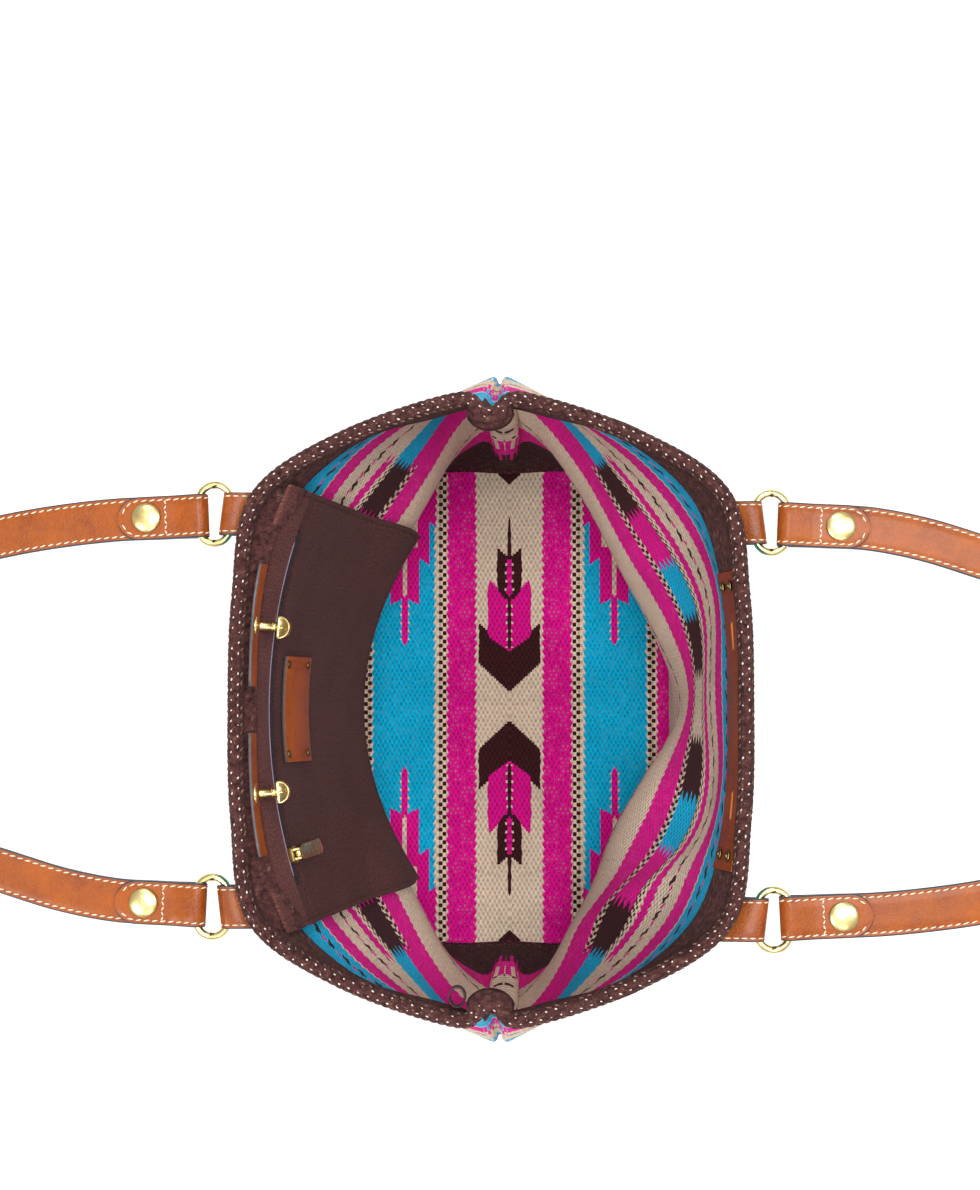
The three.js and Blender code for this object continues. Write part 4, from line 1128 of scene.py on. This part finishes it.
def ring(side, way, tag):
    sign, shift, _ = SIDES[side]
    path = rounded_line(RING_SPAN, RING_LENGTH - RING_WIRE, RING_BEND)
    along = np.roll(path, -1, 0) - np.roll(path, 1, 0)
    along /= np.linalg.norm(along, axis=1)[:, None]
    centre = (sign * (bar_x() + RING_SPAN / 2), shift + way * RING_SPACING / 2, RING_HEIGHT)
    rows = []
    for (x, y), (ax, ay) in zip(path, along):
        rows.append([(centre[0] + x + ay * math.cos(a) * RING_WIRE / 2,
                      centre[1] + y - ax * math.cos(a) * RING_WIRE / 2,
                      centre[2] + math.sin(a) * RING_WIRE / 2)
                     for a in np.linspace(0, 2 * math.pi, 20, endpoint=False)])
    bm = bmesh.new()
    grid(bm, rows, round_rows=True, round_columns=True)
    piece = finished(f"wire_ring_{tag}", bm, FINISHES["brass"])
    dress(piece, f"ring_{tag}", "antique_brass", f"ring_{tag}")


TAB_WIDTH = 0.022
TAB_FOOT = 0.222
TAB_TURN = 0.12
TAB_CLIMB = 9


def ring_tab(side, way, tag):
    """A leather tab that climbs the wall, goes round the ring and comes down over itself"""
    sign, shift, _ = SIDES[side]
    body = body_sizes()
    thick = leather_sizes().leather
    form = BodyForm(body, 400)
    middle = shift + way * RING_SPACING / 2
    turn = RING_WIRE / 2 + WRAP_GAP + thick / 2
    near = SEAT + thick / 2
    far = near + GAP + thick
    shape = section(TAB_WIDTH / 2, thick, 0.0007, 0.0002, 0.002)
    walls = {}

    def wall(z):
        key = round(min(z, body.height), 5)
        if key not in walls:
            walls[key] = np.interp(middle + shape[:, 0], *form.side(sign, key, 0))
        return walls[key]

    # Each station has its height, how closely it hugs the wall, its lift, its free x and normal
    stations = [(z, 1.0, near, 0.0, (-1, 0)) for z in np.linspace(TAB_FOOT, 0.262, TAB_CLIMB)]
    stations.append((RING_HEIGHT + turn * 0.55, 0.6, near, bar_x() - turn * 0.6, (-0.5, 0.87)))
    for share in np.linspace(0.42, -0.4, 12):
        angle = math.pi * share
        stations.append((RING_HEIGHT + turn * math.sin(angle), 0.0, 0.0,
                         bar_x() + turn * math.cos(angle), (math.cos(angle), math.sin(angle))))
    stations.append((RING_HEIGHT - turn * 1.9, 0.5, far, bar_x() - turn * 0.2, (0.75, -0.66)))
    stations += [(z, 1.0, far, 0.0, (1, 0)) for z in np.linspace(0.258, TAB_FOOT, 9)]
    rows = []
    middles = []
    for z, hug, lift, free, normal in stations:
        bar = sign * (free - TAB_TURN * way * shape[:, 0])
        x = mix(bar, wall(z) + sign * lift, hug)
        out = shape[:, 1]
        rows.append(np.column_stack([x + sign * out * normal[0], middle + shape[:, 0],
                                     z + out * normal[1]]))
        middles.append((x, z, normal))
    bm = bmesh.new()
    grid(bm, rows, round_columns=True, paint=CUT_EDGES.__contains__)
    close_ends(bm)
    piece = finished(f"leather_tab_{tag}", bm, FINISHES["cognac"], FINISHES["paint"])
    dress(piece, "bag", "cognac_leather", f"ring_tab_{tag}")
    tab_stitches(tag, sign, middle, shape, middles[TAB_CLIMB:])


def tab_stitches(tag, sign, middle, shape, over):
    """Stitches along both edges of a tab, over the ring and down the outer layer"""
    bm = bmesh.new()
    pitch, thick = leather_sizes().stitch, leather_sizes().leather
    edge = TAB_WIDTH / 2 - 0.002
    for offset in (-edge, edge):
        column = int(np.argmin(np.abs(shape[:, 0] - offset)))
        points = np.array([Vector((x[column] if np.ndim(x) else x, middle + offset, z))
                           + Vector((sign * normal[0], 0, normal[1])) * (thick / 2)
                           for x, z, normal in over])
        ups = np.array([(sign * n[0], 0, n[1]) for _, _, n in over])
        done = np.concatenate([[0], np.cumsum(np.linalg.norm(np.diff(points, axis=0), axis=1))])
        for k in range(int(done[-1] / pitch)):
            at = (k + 0.5) * pitch
            place = part_way(at, done, points)
            along = part_way(at + 0.0005, done, points) - place
            bead(bm, place, along, part_way(at, done, ups),
                 (pitch * STITCH_SHARE, THREAD, THREAD))
    stitches = finished(f"tab_stitches_{tag}", bm, FINISHES["thread"])
    dress(stitches, "bag", "cognac_leather")


# The zip pocket

POCKET_TOP = 0.289
POCKET_FOOT = 0.095
POCKET_THICKNESS = 0.0028
POCKET_TOP_HALF = 0.115
POCKET_FOOT_HALF = 0.102
POCKET_FOOT_OUT = 0.083
POCKET_TOP_BOW = 0.020
POCKET_FOOT_BOW = 0.034
PANEL_CLEARANCE = 0.002
ZIP_HEIGHT = 0.255
ZIP_HALF_LENGTH = 0.092
ZIP_WIDTH = 0.006
ZIP_DEPTH = 0.0014
FACING_TOP = 0.2825
SHEET_ROUND = 0.0003
FOLD_STITCHES = 0.0031
ZIP_STITCHES = 0.0026


class InnerFace:
    """The pocket's face inside the mouth as x over y and z"""

    def __init__(self):
        self.body = body_sizes()
        self.form = BodyForm(self.body, 440)
        self.walls = {}
        self.top_x = self.wall(0.0, POCKET_TOP)

    def wall(self, y, z):
        key = round(z, 5)
        if key not in self.walls:
            foot, roll = self.body.height - HEM_DROP, self.body.height - ROLL_HEIGHT
            on_hem = z > foot
            hem = mix(HEM_FOOT, HEM_TOP, (z - foot) / (roll - foot))
            ys, xs = self.form.side(-1, z, hem if on_hem else self.body.cloth + PANEL_CLEARANCE)
            self.walls[key] = ys, xs + (SEAT if on_hem else 0)
        return np.interp(y, *self.walls[key])

    def half(self, z):
        return mix(POCKET_TOP_HALF, POCKET_FOOT_HALF, (POCKET_TOP - z) / (POCKET_TOP - POCKET_FOOT))

    def x(self, y, z):
        share = (POCKET_TOP - z) / (POCKET_TOP - POCKET_FOOT)
        bow = mix(POCKET_TOP_BOW, POCKET_FOOT_BOW, share)
        power = 2 + smooth(z, ZIP_HEIGHT, POCKET_TOP)
        back = mix(self.top_x, -POCKET_FOOT_OUT - POCKET_THICKNESS, share)
        back = back + bow * np.abs(y / self.half(z)) ** power
        return np.maximum(back, self.wall(y, z)) + POCKET_THICKNESS

    def normal(self, y, z):
        step = 0.001
        along_y = (self.x(y + step, z) - self.x(y - step, z)) / (2 * step)
        along_z = (self.x(y, z + step) - self.x(y, z - step)) / (2 * step)
        return Vector((1, -along_y, -along_z)).normalized()

    def spot(self, y, z, lift):
        return Vector((float(self.x(y, z)), y, z)) + self.normal(y, z) * lift


def face_sheet(bm, face, ys, zs, low, high, uv=None):
    """A closed sheet over the pocket's face between two lifts, with rounded edges. Its y depends
    on z, and its lifts on both."""
    rows = []
    for z in zs:
        y = ys(z)
        foot, top = low(y, z), high(y, z)
        if z in (zs[0], zs[-1]):
            foot, top = mix(foot, top, 0.25), mix(foot, top, 0.75)
        middle = (foot + top) / 2
        right, left = y[-1] + SHEET_ROUND, y[0] - SHEET_ROUND
        loop = [*zip(y, top), (right, mix(middle[-1], top[-1], 0.4)),
                (right, mix(middle[-1], foot[-1], 0.4)), *zip(y[::-1], foot[::-1]),
                (left, mix(middle[0], foot[0], 0.4)), (left, mix(middle[0], top[0], 0.4))]
        rows.append([(float(face.x(a, z)) + lift, float(a), z) for a, lift in loop])
    grid(bm, rows, round_columns=True, uv=uv)
    close_ends(bm)


def flat_map(spots, face):
    return [(loop.vert.co.y, loop.vert.co.z) for loop in face.loops]


def pocket_panel():
    """Twill panel with folded edges and a sunk zip, under a ribbed facing"""
    face = InnerFace()

    def ys(z):
        half = face.half(z)
        inner = np.linspace(-ZIP_HALF_LENGTH + 0.002, ZIP_HALF_LENGTH - 0.002, 61)
        outer = [half - 0.0006, half - 0.0025, half - FOLD_STITCHES, half - 0.0037, half - 0.0055]
        side = [-o for o in outer]
        return np.concatenate([side, [-ZIP_HALF_LENGTH - 0.0004, -ZIP_HALF_LENGTH], inner,
                               [ZIP_HALF_LENGTH, ZIP_HALF_LENGTH + 0.0004], outer[::-1]])

    def high(y, z):
        half = face.half(z)
        edge = np.abs(y)
        zip_line = ZIP_WIDTH / 2 + ZIP_STITCHES
        channel = 0.00035 * np.exp(-(((edge - half + FOLD_STITCHES) / 0.0006) ** 2))
        channel = channel + 0.00035 * math.exp(-(((z - POCKET_FOOT - FOLD_STITCHES) / 0.0006) ** 2))
        channel = channel + 0.0004 * math.exp(-(((z - ZIP_HEIGHT + zip_line) / 0.0006) ** 2))
        sunk = (abs(z - ZIP_HEIGHT) < ZIP_WIDTH / 2) & (edge < ZIP_HALF_LENGTH + 0.0001)
        puff = 0.0005 * math.sin(math.pi * smooth(z, ZIP_HEIGHT + 0.003, FACING_TOP))
        return puff - channel - np.where(sunk, ZIP_DEPTH, 0.0)

    lip = ZIP_WIDTH / 2
    zs = [POCKET_FOOT, POCKET_FOOT + 0.0004, POCKET_FOOT + 0.002, POCKET_FOOT + 0.0026,
          POCKET_FOOT + 0.0031, POCKET_FOOT + 0.0036, POCKET_FOOT + 0.005]
    zs += list(np.linspace(POCKET_FOOT + 0.010, ZIP_HEIGHT - 0.009, 34))
    zs += [ZIP_HEIGHT - lip - dz for dz in (0.0036, 0.0031, 0.0026, 0.0021, 0.0002)]
    zs += [ZIP_HEIGHT - lip + 0.0001, ZIP_HEIGHT, ZIP_HEIGHT + lip - 0.0001,
           ZIP_HEIGHT + lip + 0.0002]
    zs += list(np.linspace(ZIP_HEIGHT + lip + 0.002, FACING_TOP - 0.0006, 12)) + [FACING_TOP]
    bm = bmesh.new()
    face_sheet(bm, face, ys, zs, lambda y, z: np.full(len(y), -POCKET_THICKNESS + 0.0001), high,
               flat_map)
    piece = finished("pocket_panel", bm, FINISHES["twill"], FINISHES["ribbed"], sharp=60)
    for polygon in piece.data.polygons:
        if polygon.center.z > ZIP_HEIGHT + lip:
            polygon.material_index = 1
    dress(piece, "bag", "cotton_twill", "pocket")

    # Dark stitches along the folded edges
    bm = bmesh.new()
    pitch = 0.0031
    lines = [[(way * (face.half(z) - FOLD_STITCHES), z)
              for z in np.arange(POCKET_FOOT + 0.004, FACING_TOP, pitch)] for way in (-1, 1)]
    lines.append([(y, POCKET_FOOT + FOLD_STITCHES) for y in np.arange(-0.097, 0.097, pitch)])
    lines.append([(y, ZIP_HEIGHT - lip - ZIP_STITCHES) for y in np.arange(-0.09, 0.09, pitch)])
    for line in lines:
        for (y, z), (ahead_y, ahead_z) in zip(line, line[1:]):
            place, ahead = face.spot(y, z, 0.0001), face.spot(ahead_y, ahead_z, 0.0001)
            bead(bm, place, ahead - place, face.normal(y, z), (pitch * 0.8, 0.0006, 0.0005))
    stitches = finished("pocket_stitches", bm, FINISHES["brown_thread"])
    dress(stitches, "bag", "cotton_twill")


LIP_RADIUS = 0.00048
TOOTH_PITCH = 0.0012


def zip_run():
    """The zip's woven lip, pale as a painted highlight, its row of teeth and its tapes"""
    face = InnerFace()
    end = ZIP_HALF_LENGTH - 0.0006
    z = ZIP_HEIGHT + ZIP_WIDTH / 2 - 0.0002
    turns = np.linspace(0, 2 * math.pi, 10, endpoint=False)
    rows = []
    for y in np.linspace(-end + 0.004, end - 0.005, 60).tolist():
        place = face.spot(y, z, -0.0001)
        ahead = face.spot(y + 0.001, z, -0.0001) - face.spot(y - 0.001, z, -0.0001)
        out = face.normal(y, z)
        across = ahead.normalized().cross(out)
        rows.append([place + (out * math.sin(a) + across * math.cos(a)) * LIP_RADIUS
                     for a in turns])
    bm = bmesh.new()
    grid(bm, rows, round_columns=True)
    close_ends(bm)
    # The lip takes the pale finish of a painted highlight
    dress(finished("zip_lip", bm, FINISHES["coil"]), "bag", "zip_tape")
    bm = bmesh.new()
    for k, y in enumerate(np.arange(-end + 0.002, end - 0.002, TOOTH_PITCH).tolist()):
        z = ZIP_HEIGHT + (0.0007 if k % 2 else -0.0007)
        bead(bm, face.spot(y, z, 0.0002), (0, 0, 1), face.normal(y, z), (0.0022, 0.0007, 0.0007))
    dress(finished("zip_teeth", bm, FINISHES["paint"]), "bag", "zip_tape")
    for side in ("upper", "lower"):
        eased(f"zip_tape_{side}", f"tape_{side}", "bag", "zip_tape", "tape", 0.0001)


HEM_LIP_FOOT = 0.2812
HEM_LIP_DROP = 0.013
HEM_LIP_LIFT = 0.0022


def hem_lip():
    """The wool of the hem, fluffed up between the roll and the pocket's facing"""
    face = InnerFace()
    top = POCKET_TOP - 0.0008
    rows = []
    for y in np.linspace(-0.1125, 0.1125, 420):
        foot = HEM_LIP_FOOT - HEM_LIP_DROP * float(smooth(abs(y), 0.086, 0.110))
        fuzz = 0.0004 * math.sin(y * 2300) + 0.0003 * math.sin(y * 1370 + 1)
        start = np.array([float(face.wall(y, top)) - 0.0012, top])
        end = np.array([float(face.x(y, foot)) + HEM_LIP_LIFT, foot])
        line = [mix(start, end, t) + np.array([0.5, 0.86]) * 0.0007 * math.sin(math.pi * t)
                + fuzz * math.sin(math.pi * min(1, t * 1.3)) * math.cos(9 * t)
                for t in np.linspace(0, 1, 12)]
        back = [end + (-0.0006, -0.0014), end + (-0.0030, -0.0010), start + (-0.0004, -0.0050),
                start + (-0.0008, -0.0020)]
        rows.append([(x, y, z) for x, z in [*line, *back]])
    bm = bmesh.new()
    grid(bm, rows, round_columns=True)
    close_ends(bm)
    piece = finished("hem_lip", bm, FINISHES["edge"])
    dress(piece, "bag", "woven_wool")


# Small fittings, eased from the frame's own solids

SHARP = 30


def eased(node, name, body, slot, finish, width, edge=None, thinner=0.0, back=0.0):
    """A copy of a frame's solid with its corners rounded. It may be pared on the face towards -X
    and set back towards +X."""
    bm = bmesh.new()
    bm.from_mesh(frame["nodes"][node].data)
    bmesh.ops.remove_doubles(bm, verts=bm.verts, dist=1e-6)
    bm.normal_update()
    pared = [v for v in bm.verts if v.normal.x < 0] if thinner else []
    bmesh.ops.translate(bm, verts=pared, vec=(thinner, 0, 0))
    bmesh.ops.translate(bm, verts=bm.verts, vec=(back, 0, 0))
    bmesh.ops.dissolve_limit(bm, angle_limit=math.radians(0.6), verts=bm.verts, edges=bm.edges)
    corners = [e for e in bm.edges if e.is_manifold and e.calc_face_angle() > math.radians(SHARP)]
    bmesh.ops.bevel(bm, geom=corners, offset=width, offset_type="OFFSET", segments=2, profile=0.5,
                    affect="EDGES", material=-1, clamp_overlap=True)
    bmesh.ops.triangulate(bm, faces=[f for f in bm.faces if len(f.verts) > 4])
    finishes = [FINISHES[kind] for kind in (finish, edge) if kind]
    piece = finished(name, bm, *finishes, sharp=SHARP + 10)
    dress(piece, body, slot, node)
    return piece


def axis_of(node, towards):
    """A round solid's middle and axis, from its vertices"""
    points = np.array([v.co for v in frame["nodes"][node].data.vertices])
    middle = (points.min(0) + points.max(0)) / 2
    spread = np.linalg.svd(points - points.mean(0))[2]
    axis = spread[2] * np.sign(spread[2] @ np.array(towards))
    reach = (points - middle) @ axis
    return Vector(middle), Vector(axis), float(reach.max() - reach.min())


STRIP_PARED = 0.0010
STRIP_BACK = 0.0009
FLANGE = 0.003
RIVET_SHANK = 0.0012
RIVET_HEAD = 0.0022
RIVET_DOME = 0.0008


def strip_and_patch():
    """The slit strip, the patch, their eyelets and rivets, and the hanging loop"""
    second_finish(eased("closure_strip", "slit_strip", "bag", "brown_leather", "saddle", 0.00025,
                        "raw", thinner=STRIP_PARED, back=STRIP_BACK), 0.75)
    second_finish(eased("pocket_patch", "leather_patch", "bag", "cognac_leather", "waxed", 0.0004,
                        "burnt"), 0.55)
    eased("seam_loop", "hang_loop", "bag", "brown_leather", "burnt", 0.0003)
    for k in range(1, 5):
        middle, axis, tall = axis_of(f"strip_eyelet_{k}", (-1, 0, 0))
        foot, rim = -tall / 2, tall / 2
        seat = rim - 0.00075
        profile = [(FLANGE * share, height) for share, height in (
            (0.35, foot), (0.6, foot), (0.6, seat), (1, seat), (1, seat + 0.0002),
            (0.93, rim - 0.0002), (0.75, rim), (0.5, rim - 0.0001), (0.36, rim - 0.0006),
            (0.35, foot))]
        bm = bmesh.new()
        spun(bm, profile, middle + Vector((STRIP_PARED + STRIP_BACK, 0, 0)), axis, 40)
        dress(finished(f"eyelet_{k}", bm, FINISHES["bronze"]), "bag", "antique_brass",
              f"strip_eyelet_{k}")
        middle, axis, tall = axis_of(f"patch_rivet_{k}", (1, 0, 0))
        neck = tall / 2 - RIVET_DOME
        profile = [(0, -tall / 2), (RIVET_SHANK, -tall / 2), (RIVET_SHANK, neck)]
        profile += [(RIVET_HEAD * math.cos(a), neck + RIVET_DOME * math.sin(a))
                    for a in np.linspace(0, math.pi / 2, 7)[:-1]] + [(0, tall / 2)]
        bm = bmesh.new()
        spun(bm, profile, middle, axis, 32)
        dress(finished(f"rivet_{k}", bm, FINISHES["bronze"]), "bag", "antique_brass",
              f"patch_rivet_{k}")


BASE_DIAMETER = 0.0145
POST_DIAMETER = 0.005
HEAD_WIDTH = 0.0117
HEAD_LENGTH = 0.0072
HEAD_THICKNESS = 0.0026
HEAD_CORNER = 0.0012
TOGGLE_SPACING = 0.086
PLATE_LENGTH = 0.062
PLATE_FOOT = 0.263
PLATE_TOP = 0.2905
PLATE_LEATHER = 0.0015
PLATE_HIDDEN = 0.277
PLATE_CLEAR = 0.282
HEAD_BACK = 0.00245
DISC_BACK = 0.0145
DISC_RISE = 0.003
DISC_THICKNESS = 0.0021


def toggle(name):
    """A turning toggle: its leather plate, its fixed base with a post, and its head"""
    joint = next(j for j in frame["joints"] if j["name"] == f"toggle_{name}_turn")
    place = Vector(joint["pos_m"])
    out = Vector(joint["axis"]).normalized()
    toggle_plate(name)
    toggle_post(name, place - out * DISC_BACK, out)
    toggle_head(name, place - out * HEAD_BACK, out)


def toggle_plate(name):
    """Leather that lies over the facing at its top and goes behind the panel at its foot"""
    face = InnerFace()
    y = SIDES["left"][1] + (1 if name == "front" else -1) * TOGGLE_SPACING / 2
    bm = bmesh.new()
    ys = y + np.linspace(-PLATE_LENGTH / 2, PLATE_LENGTH / 2, 25)
    zs = [PLATE_FOOT, PLATE_FOOT + 0.0004, *np.linspace(PLATE_FOOT + 0.003, PLATE_TOP - 0.003, 16),
          PLATE_TOP - 0.0004, PLATE_TOP]

    def low(y, z):
        lift = mix(-POCKET_THICKNESS + 0.0002, 0.0006, smooth(z, PLATE_HIDDEN, PLATE_CLEAR))
        return np.full(len(y), lift)

    face_sheet(bm, face, lambda z: ys, zs, low, lambda y, z: low(y, z) + PLATE_LEATHER)
    # The plate's edges take the dark edge paint lightened as a painted sheen
    plate = finished(f"toggle_leather_{name}", bm, FINISHES["cognac"], FINISHES["slate"])
    second_finish(plate, 0.8)
    dress(plate, "bag", "brown_leather", f"toggle_plate_{name}")


def toggle_post(name, foot, out):
    """The disc stands upright on the plate, and its post leans with the toggle's axis"""
    post, disc, thick = POST_DIAMETER / 2, BASE_DIAMETER / 2, DISC_THICKNESS
    neck = post * 0.45
    length = DISC_BACK - HEAD_BACK - GAP
    bm = bmesh.new()
    profile = [(0, 0), (disc - 0.0003, 0), (disc, 0.0003), (disc, thick - 0.0007),
               (disc - 0.0002, thick - 0.0003), (disc - 0.0007, thick),
               (disc - 0.0016, thick - 0.0001), (disc - 0.0020, thick - 0.0003),
               (0, thick - 0.0003)]
    spun(bm, profile, foot + Vector((0, 0, DISC_RISE)), (out.x, out.y, 0), 56)
    profile = [(0, 0.0004), (post + 0.0006, 0.0004), (post + 0.0006, thick), (post, thick + 0.0006),
               (post, length - 0.0024), (post + 0.0003, length - 0.0022),
               (post + 0.0003, length - 0.0016), (post, length - 0.0014), (post, length - 0.0003),
               (post - 0.0003, length), (neck, length), (neck, length + HEAD_LENGTH / 2),
               (0, length + HEAD_LENGTH / 2)]
    spun(bm, profile, foot, out, 48)
    dress(finished(f"toggle_post_{name}", bm, FINISHES["brass"], sharp=50), "bag", "antique_brass",
          f"toggle_base_{name}")


def toggle_head(name, head, out):
    """A D in outline, with rounded corners and a raised rim on both faces"""
    along = Vector((-out.y, out.x, 0)).normalized()
    bm = bmesh.new()
    half, corner = HEAD_WIDTH / 2, HEAD_CORNER
    right = [(half - corner + corner * math.cos(a), corner + corner * math.sin(a))
             for a in np.linspace(-math.pi / 2, 0, 6)]
    crown = [(half * math.cos(a), corner + (HEAD_LENGTH - corner) * math.sin(a))
             for a in np.linspace(0, math.pi, 34)[1:-1]]
    outline = right + crown + [(-x, h) for x, h in right[::-1]]
    verts = [bm.verts.new((x, h, -HEAD_THICKNESS / 2)) for x, h in outline]
    base = bm.faces.new(verts)
    raised = bmesh.ops.extrude_face_region(bm, geom=[base])["geom"]
    bmesh.ops.translate(bm, verts=[g for g in raised if isinstance(g, bmesh.types.BMVert)],
                        vec=(0, 0, HEAD_THICKNESS))
    bmesh.ops.recalc_face_normals(bm, faces=bm.faces)
    rim = [e for e in bm.edges if e.is_manifold and e.calc_face_angle() > math.radians(60)]
    bmesh.ops.bevel(bm, geom=rim, offset=0.0004, offset_type="OFFSET", segments=3, profile=0.5,
                    affect="EDGES", material=-1, clamp_overlap=True)
    for flat in [f for f in bm.faces if len(f.verts) > 8]:
        for thickness, depth in ((0.0006, 0), (0.0004, -0.0003)):
            bmesh.ops.inset_region(bm, faces=[flat], thickness=thickness, depth=depth,
                                   use_even_offset=False)
    axes = Matrix((along, out, along.cross(out))).transposed().to_4x4()
    bmesh.ops.transform(bm, matrix=Matrix.Translation(head) @ axes, verts=bm.verts)
    dress(finished(f"toggle_head_{name}", bm, FINISHES["brass"], sharp=50), f"toggle_{name}",
          "antique_brass", f"toggle_{name}")


# The stage

CAMERA_AT = Vector((0.048, 0.004, 1.400))
CAMERA_LOOK = Vector((-0.0432, 0.0477, -1.0))
PHOTO_HEIGHT = 1190
FOCAL_PIXELS = 2200
WORLD_LIGHT = 0.34
# Each side lamp's x, y and power
SIDE_LAMPS = [(1.7, 0.4, 34), (-1.6, -1.3, 50), (-0.3, 1.9, 26), (0.4, -1.9, 20)]


def camera():
    data = bpy.data.cameras.new("photo_camera")
    data.sensor_fit = "VERTICAL"
    data.sensor_height = 24.0
    data.lens = data.sensor_height * FOCAL_PIXELS / PHOTO_HEIGHT
    eye = bpy.data.objects.new("photo_camera", data)
    bpy.context.scene.collection.objects.link(eye)
    back = -CAMERA_LOOK.normalized()
    right = Vector((0, 1, 0)).cross(back).normalized()
    up = back.cross(right)
    turn = Matrix((right, up, back)).transposed().to_4x4()
    eye.matrix_world = Matrix.Translation(CAMERA_AT) @ turn
    bpy.context.scene.camera = eye


def lamp(name, place, target, size, power):
    data = bpy.data.lights.new(name, "AREA")
    data.shape = "DISK"
    data.size = size
    data.energy = power
    light = bpy.data.objects.new(name, data)
    light.location = place
    light.rotation_euler = (Vector(target) - Vector(place)).to_track_quat("-Z", "Y").to_euler()
    bpy.context.scene.collection.objects.link(light)


def stage():
    scene = bpy.context.scene
    scene.view_settings.view_transform = "Standard"
    world = bpy.data.worlds.new("studio")
    scene.world = world
    world.use_nodes = True
    tree = world.node_tree
    tree.nodes.clear()
    add = partial(add_node, tree)
    # The camera sees white, a glossy face most of it, and everything else the plain light
    camera_ray = add("LightPath")
    mirrored = add("MULTIPLY", camera_ray.node.outputs["Is Glossy Ray"], 0.55)
    plain = add("Background", (1, 1, 1, 1), WORLD_LIGHT)
    white = add("Background", (1, 1, 1, 1), 1.0)
    add("MixShader", add("ADD", camera_ray, mirrored), plain, white,
        to=tree.nodes.new("ShaderNodeOutputWorld").inputs[0])
    bm = bmesh.new()
    bmesh.ops.create_grid(bm, x_segments=1, y_segments=1, size=3.0)
    bmesh.ops.translate(bm, verts=bm.verts, vec=(0, 0, -0.0004))
    paper = material("white_paper", {"Roughness": 0.9, "Base Color": (0.94, 0.94, 0.94, 1)})[0]
    floor = finished("floor", bm, paper)
    lamp("overhead", (0.3, 0.3, 4.0), (0, 0, 0), 1.5, 88)
    for k, (x, y, power) in enumerate(SIDE_LAMPS):
        lamp(f"side_{k + 1}", (x, y, 3.0), (0, 0, 0.15), 1.2, power)


# The steps, as operators

class SetStage(bpy.types.Operator):
    """Set up the camera, the lamps and the white floor"""
    bl_idname = "tote.set_stage"
    bl_label = "Stage"

    def execute(self, context):
        camera()
        stage()
        return {"FINISHED"}


class MixFinishes(bpy.types.Operator):
    """Make the materials from the colours"""
    bl_idname = "tote.mix_finishes"
    bl_label = "Finishes"

    def execute(self, context):
        make_finishes()
        return {"FINISHED"}


class WeaveBody(bpy.types.Operator):
    """Weave the body with its blanket pattern"""
    bl_idname = "tote.weave_body"
    bl_label = "Woven body"

    def execute(self, context):
        woven_cloth()
        return {"FINISHED"}


class RollEdge(bpy.types.Operator):
    """Roll the edge of the mouth and twine it"""
    bl_idname = "tote.roll_edge"
    bl_label = "Rolled edge"

    def execute(self, context):
        rolled_edge()
        edge_flecks()
        return {"FINISHED"}


class SewPocket(bpy.types.Operator):
    """Sew the pocket with its facing, under the lip of the hem"""
    bl_idname = "tote.sew_pocket"
    bl_label = "Pocket"

    def execute(self, context):
        pocket_panel()
        hem_lip()
        return {"FINISHED"}


class SetZip(bpy.types.Operator):
    """Set the zip with its tapes, teeth, slider and pull"""
    bl_idname = "tote.set_zip"
    bl_label = "Zip"

    def execute(self, context):
        zip_run()
        eased("zip_slider", "slider", "zip_slider", "antique_brass", "brass", 0.0003)
        eased("zip_pull", "pull_tab", "zip_pull", "antique_brass", "brass", 0.0003)
        return {"FINISHED"}


class SetStrip(bpy.types.Operator):
    """Cut the slit strip, the pocket's patch and the hanging loop, and set their fittings"""
    bl_idname = "tote.set_strip"
    bl_label = "Strip, patch and loop"

    def execute(self, context):
        strip_and_patch()
        return {"FINISHED"}


class SetToggles(bpy.types.Operator):
    """Set the two turning toggles on their leather plates"""
    bl_idname = "tote.set_toggles"
    bl_label = "Toggles"

    def execute(self, context):
        for name in ("front", "back"):
            toggle(name)
        return {"FINISHED"}


class CutHandles(bpy.types.Operator):
    """Cut, fold and stitch the handles, and set their caps"""
    bl_idname = "tote.cut_handles"
    bl_label = "Handles"

    def execute(self, context):
        for side in SIDES:
            handle(side)
            for way, tag in ends(side):
                cap(side, way, tag)
        return {"FINISHED"}


class FoldTabs(bpy.types.Operator):
    """Bend the rings and fold their tabs round them"""
    bl_idname = "tote.fold_tabs"
    bl_label = "Rings and tabs"

    def execute(self, context):
        for side in SIDES:
            for way, tag in ends(side):
                ring(side, way, tag)
                ring_tab(side, way, tag)
        return {"FINISHED"}


STEPS = (SetStage, MixFinishes, WeaveBody, RollEdge, SewPocket, SetZip, SetStrip, SetToggles,
         CutHandles, FoldTabs)
SIZES = {"tote_body": ToteBody, "tote_leather": ToteLeather, "tote_colours": ToteColours}


class TotePanel(bpy.types.Panel):
    """The steps and the sizes, in the sidebar of the 3D view"""
    bl_idname = "VIEW3D_PT_tote"
    bl_label = "Tote bag"
    bl_space_type = "VIEW_3D"
    bl_region_type = "UI"
    bl_category = "Tote bag"

    def draw(self, context):
        for name, group in SIZES.items():
            box = self.layout.box()
            for key in group.__annotations__:
                box.prop(getattr(context.scene, name), key)
        for step in STEPS:
            self.layout.operator(step.bl_idname)


def register():
    for kind in (*SIZES.values(), *STEPS, TotePanel):
        bpy.utils.register_class(kind)
    for name, group in SIZES.items():
        setattr(bpy.types.Scene, name, PointerProperty(type=group))


def unregister():
    for name in SIZES:
        delattr(bpy.types.Scene, name)
    for kind in reversed((*SIZES.values(), *STEPS, TotePanel)):
        bpy.utils.unregister_class(kind)


def main():
    register()
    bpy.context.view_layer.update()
    for step in STEPS:
        getattr(bpy.ops.tote, step.bl_idname.split(".")[1])()


if __name__ == "__main__":
    main()
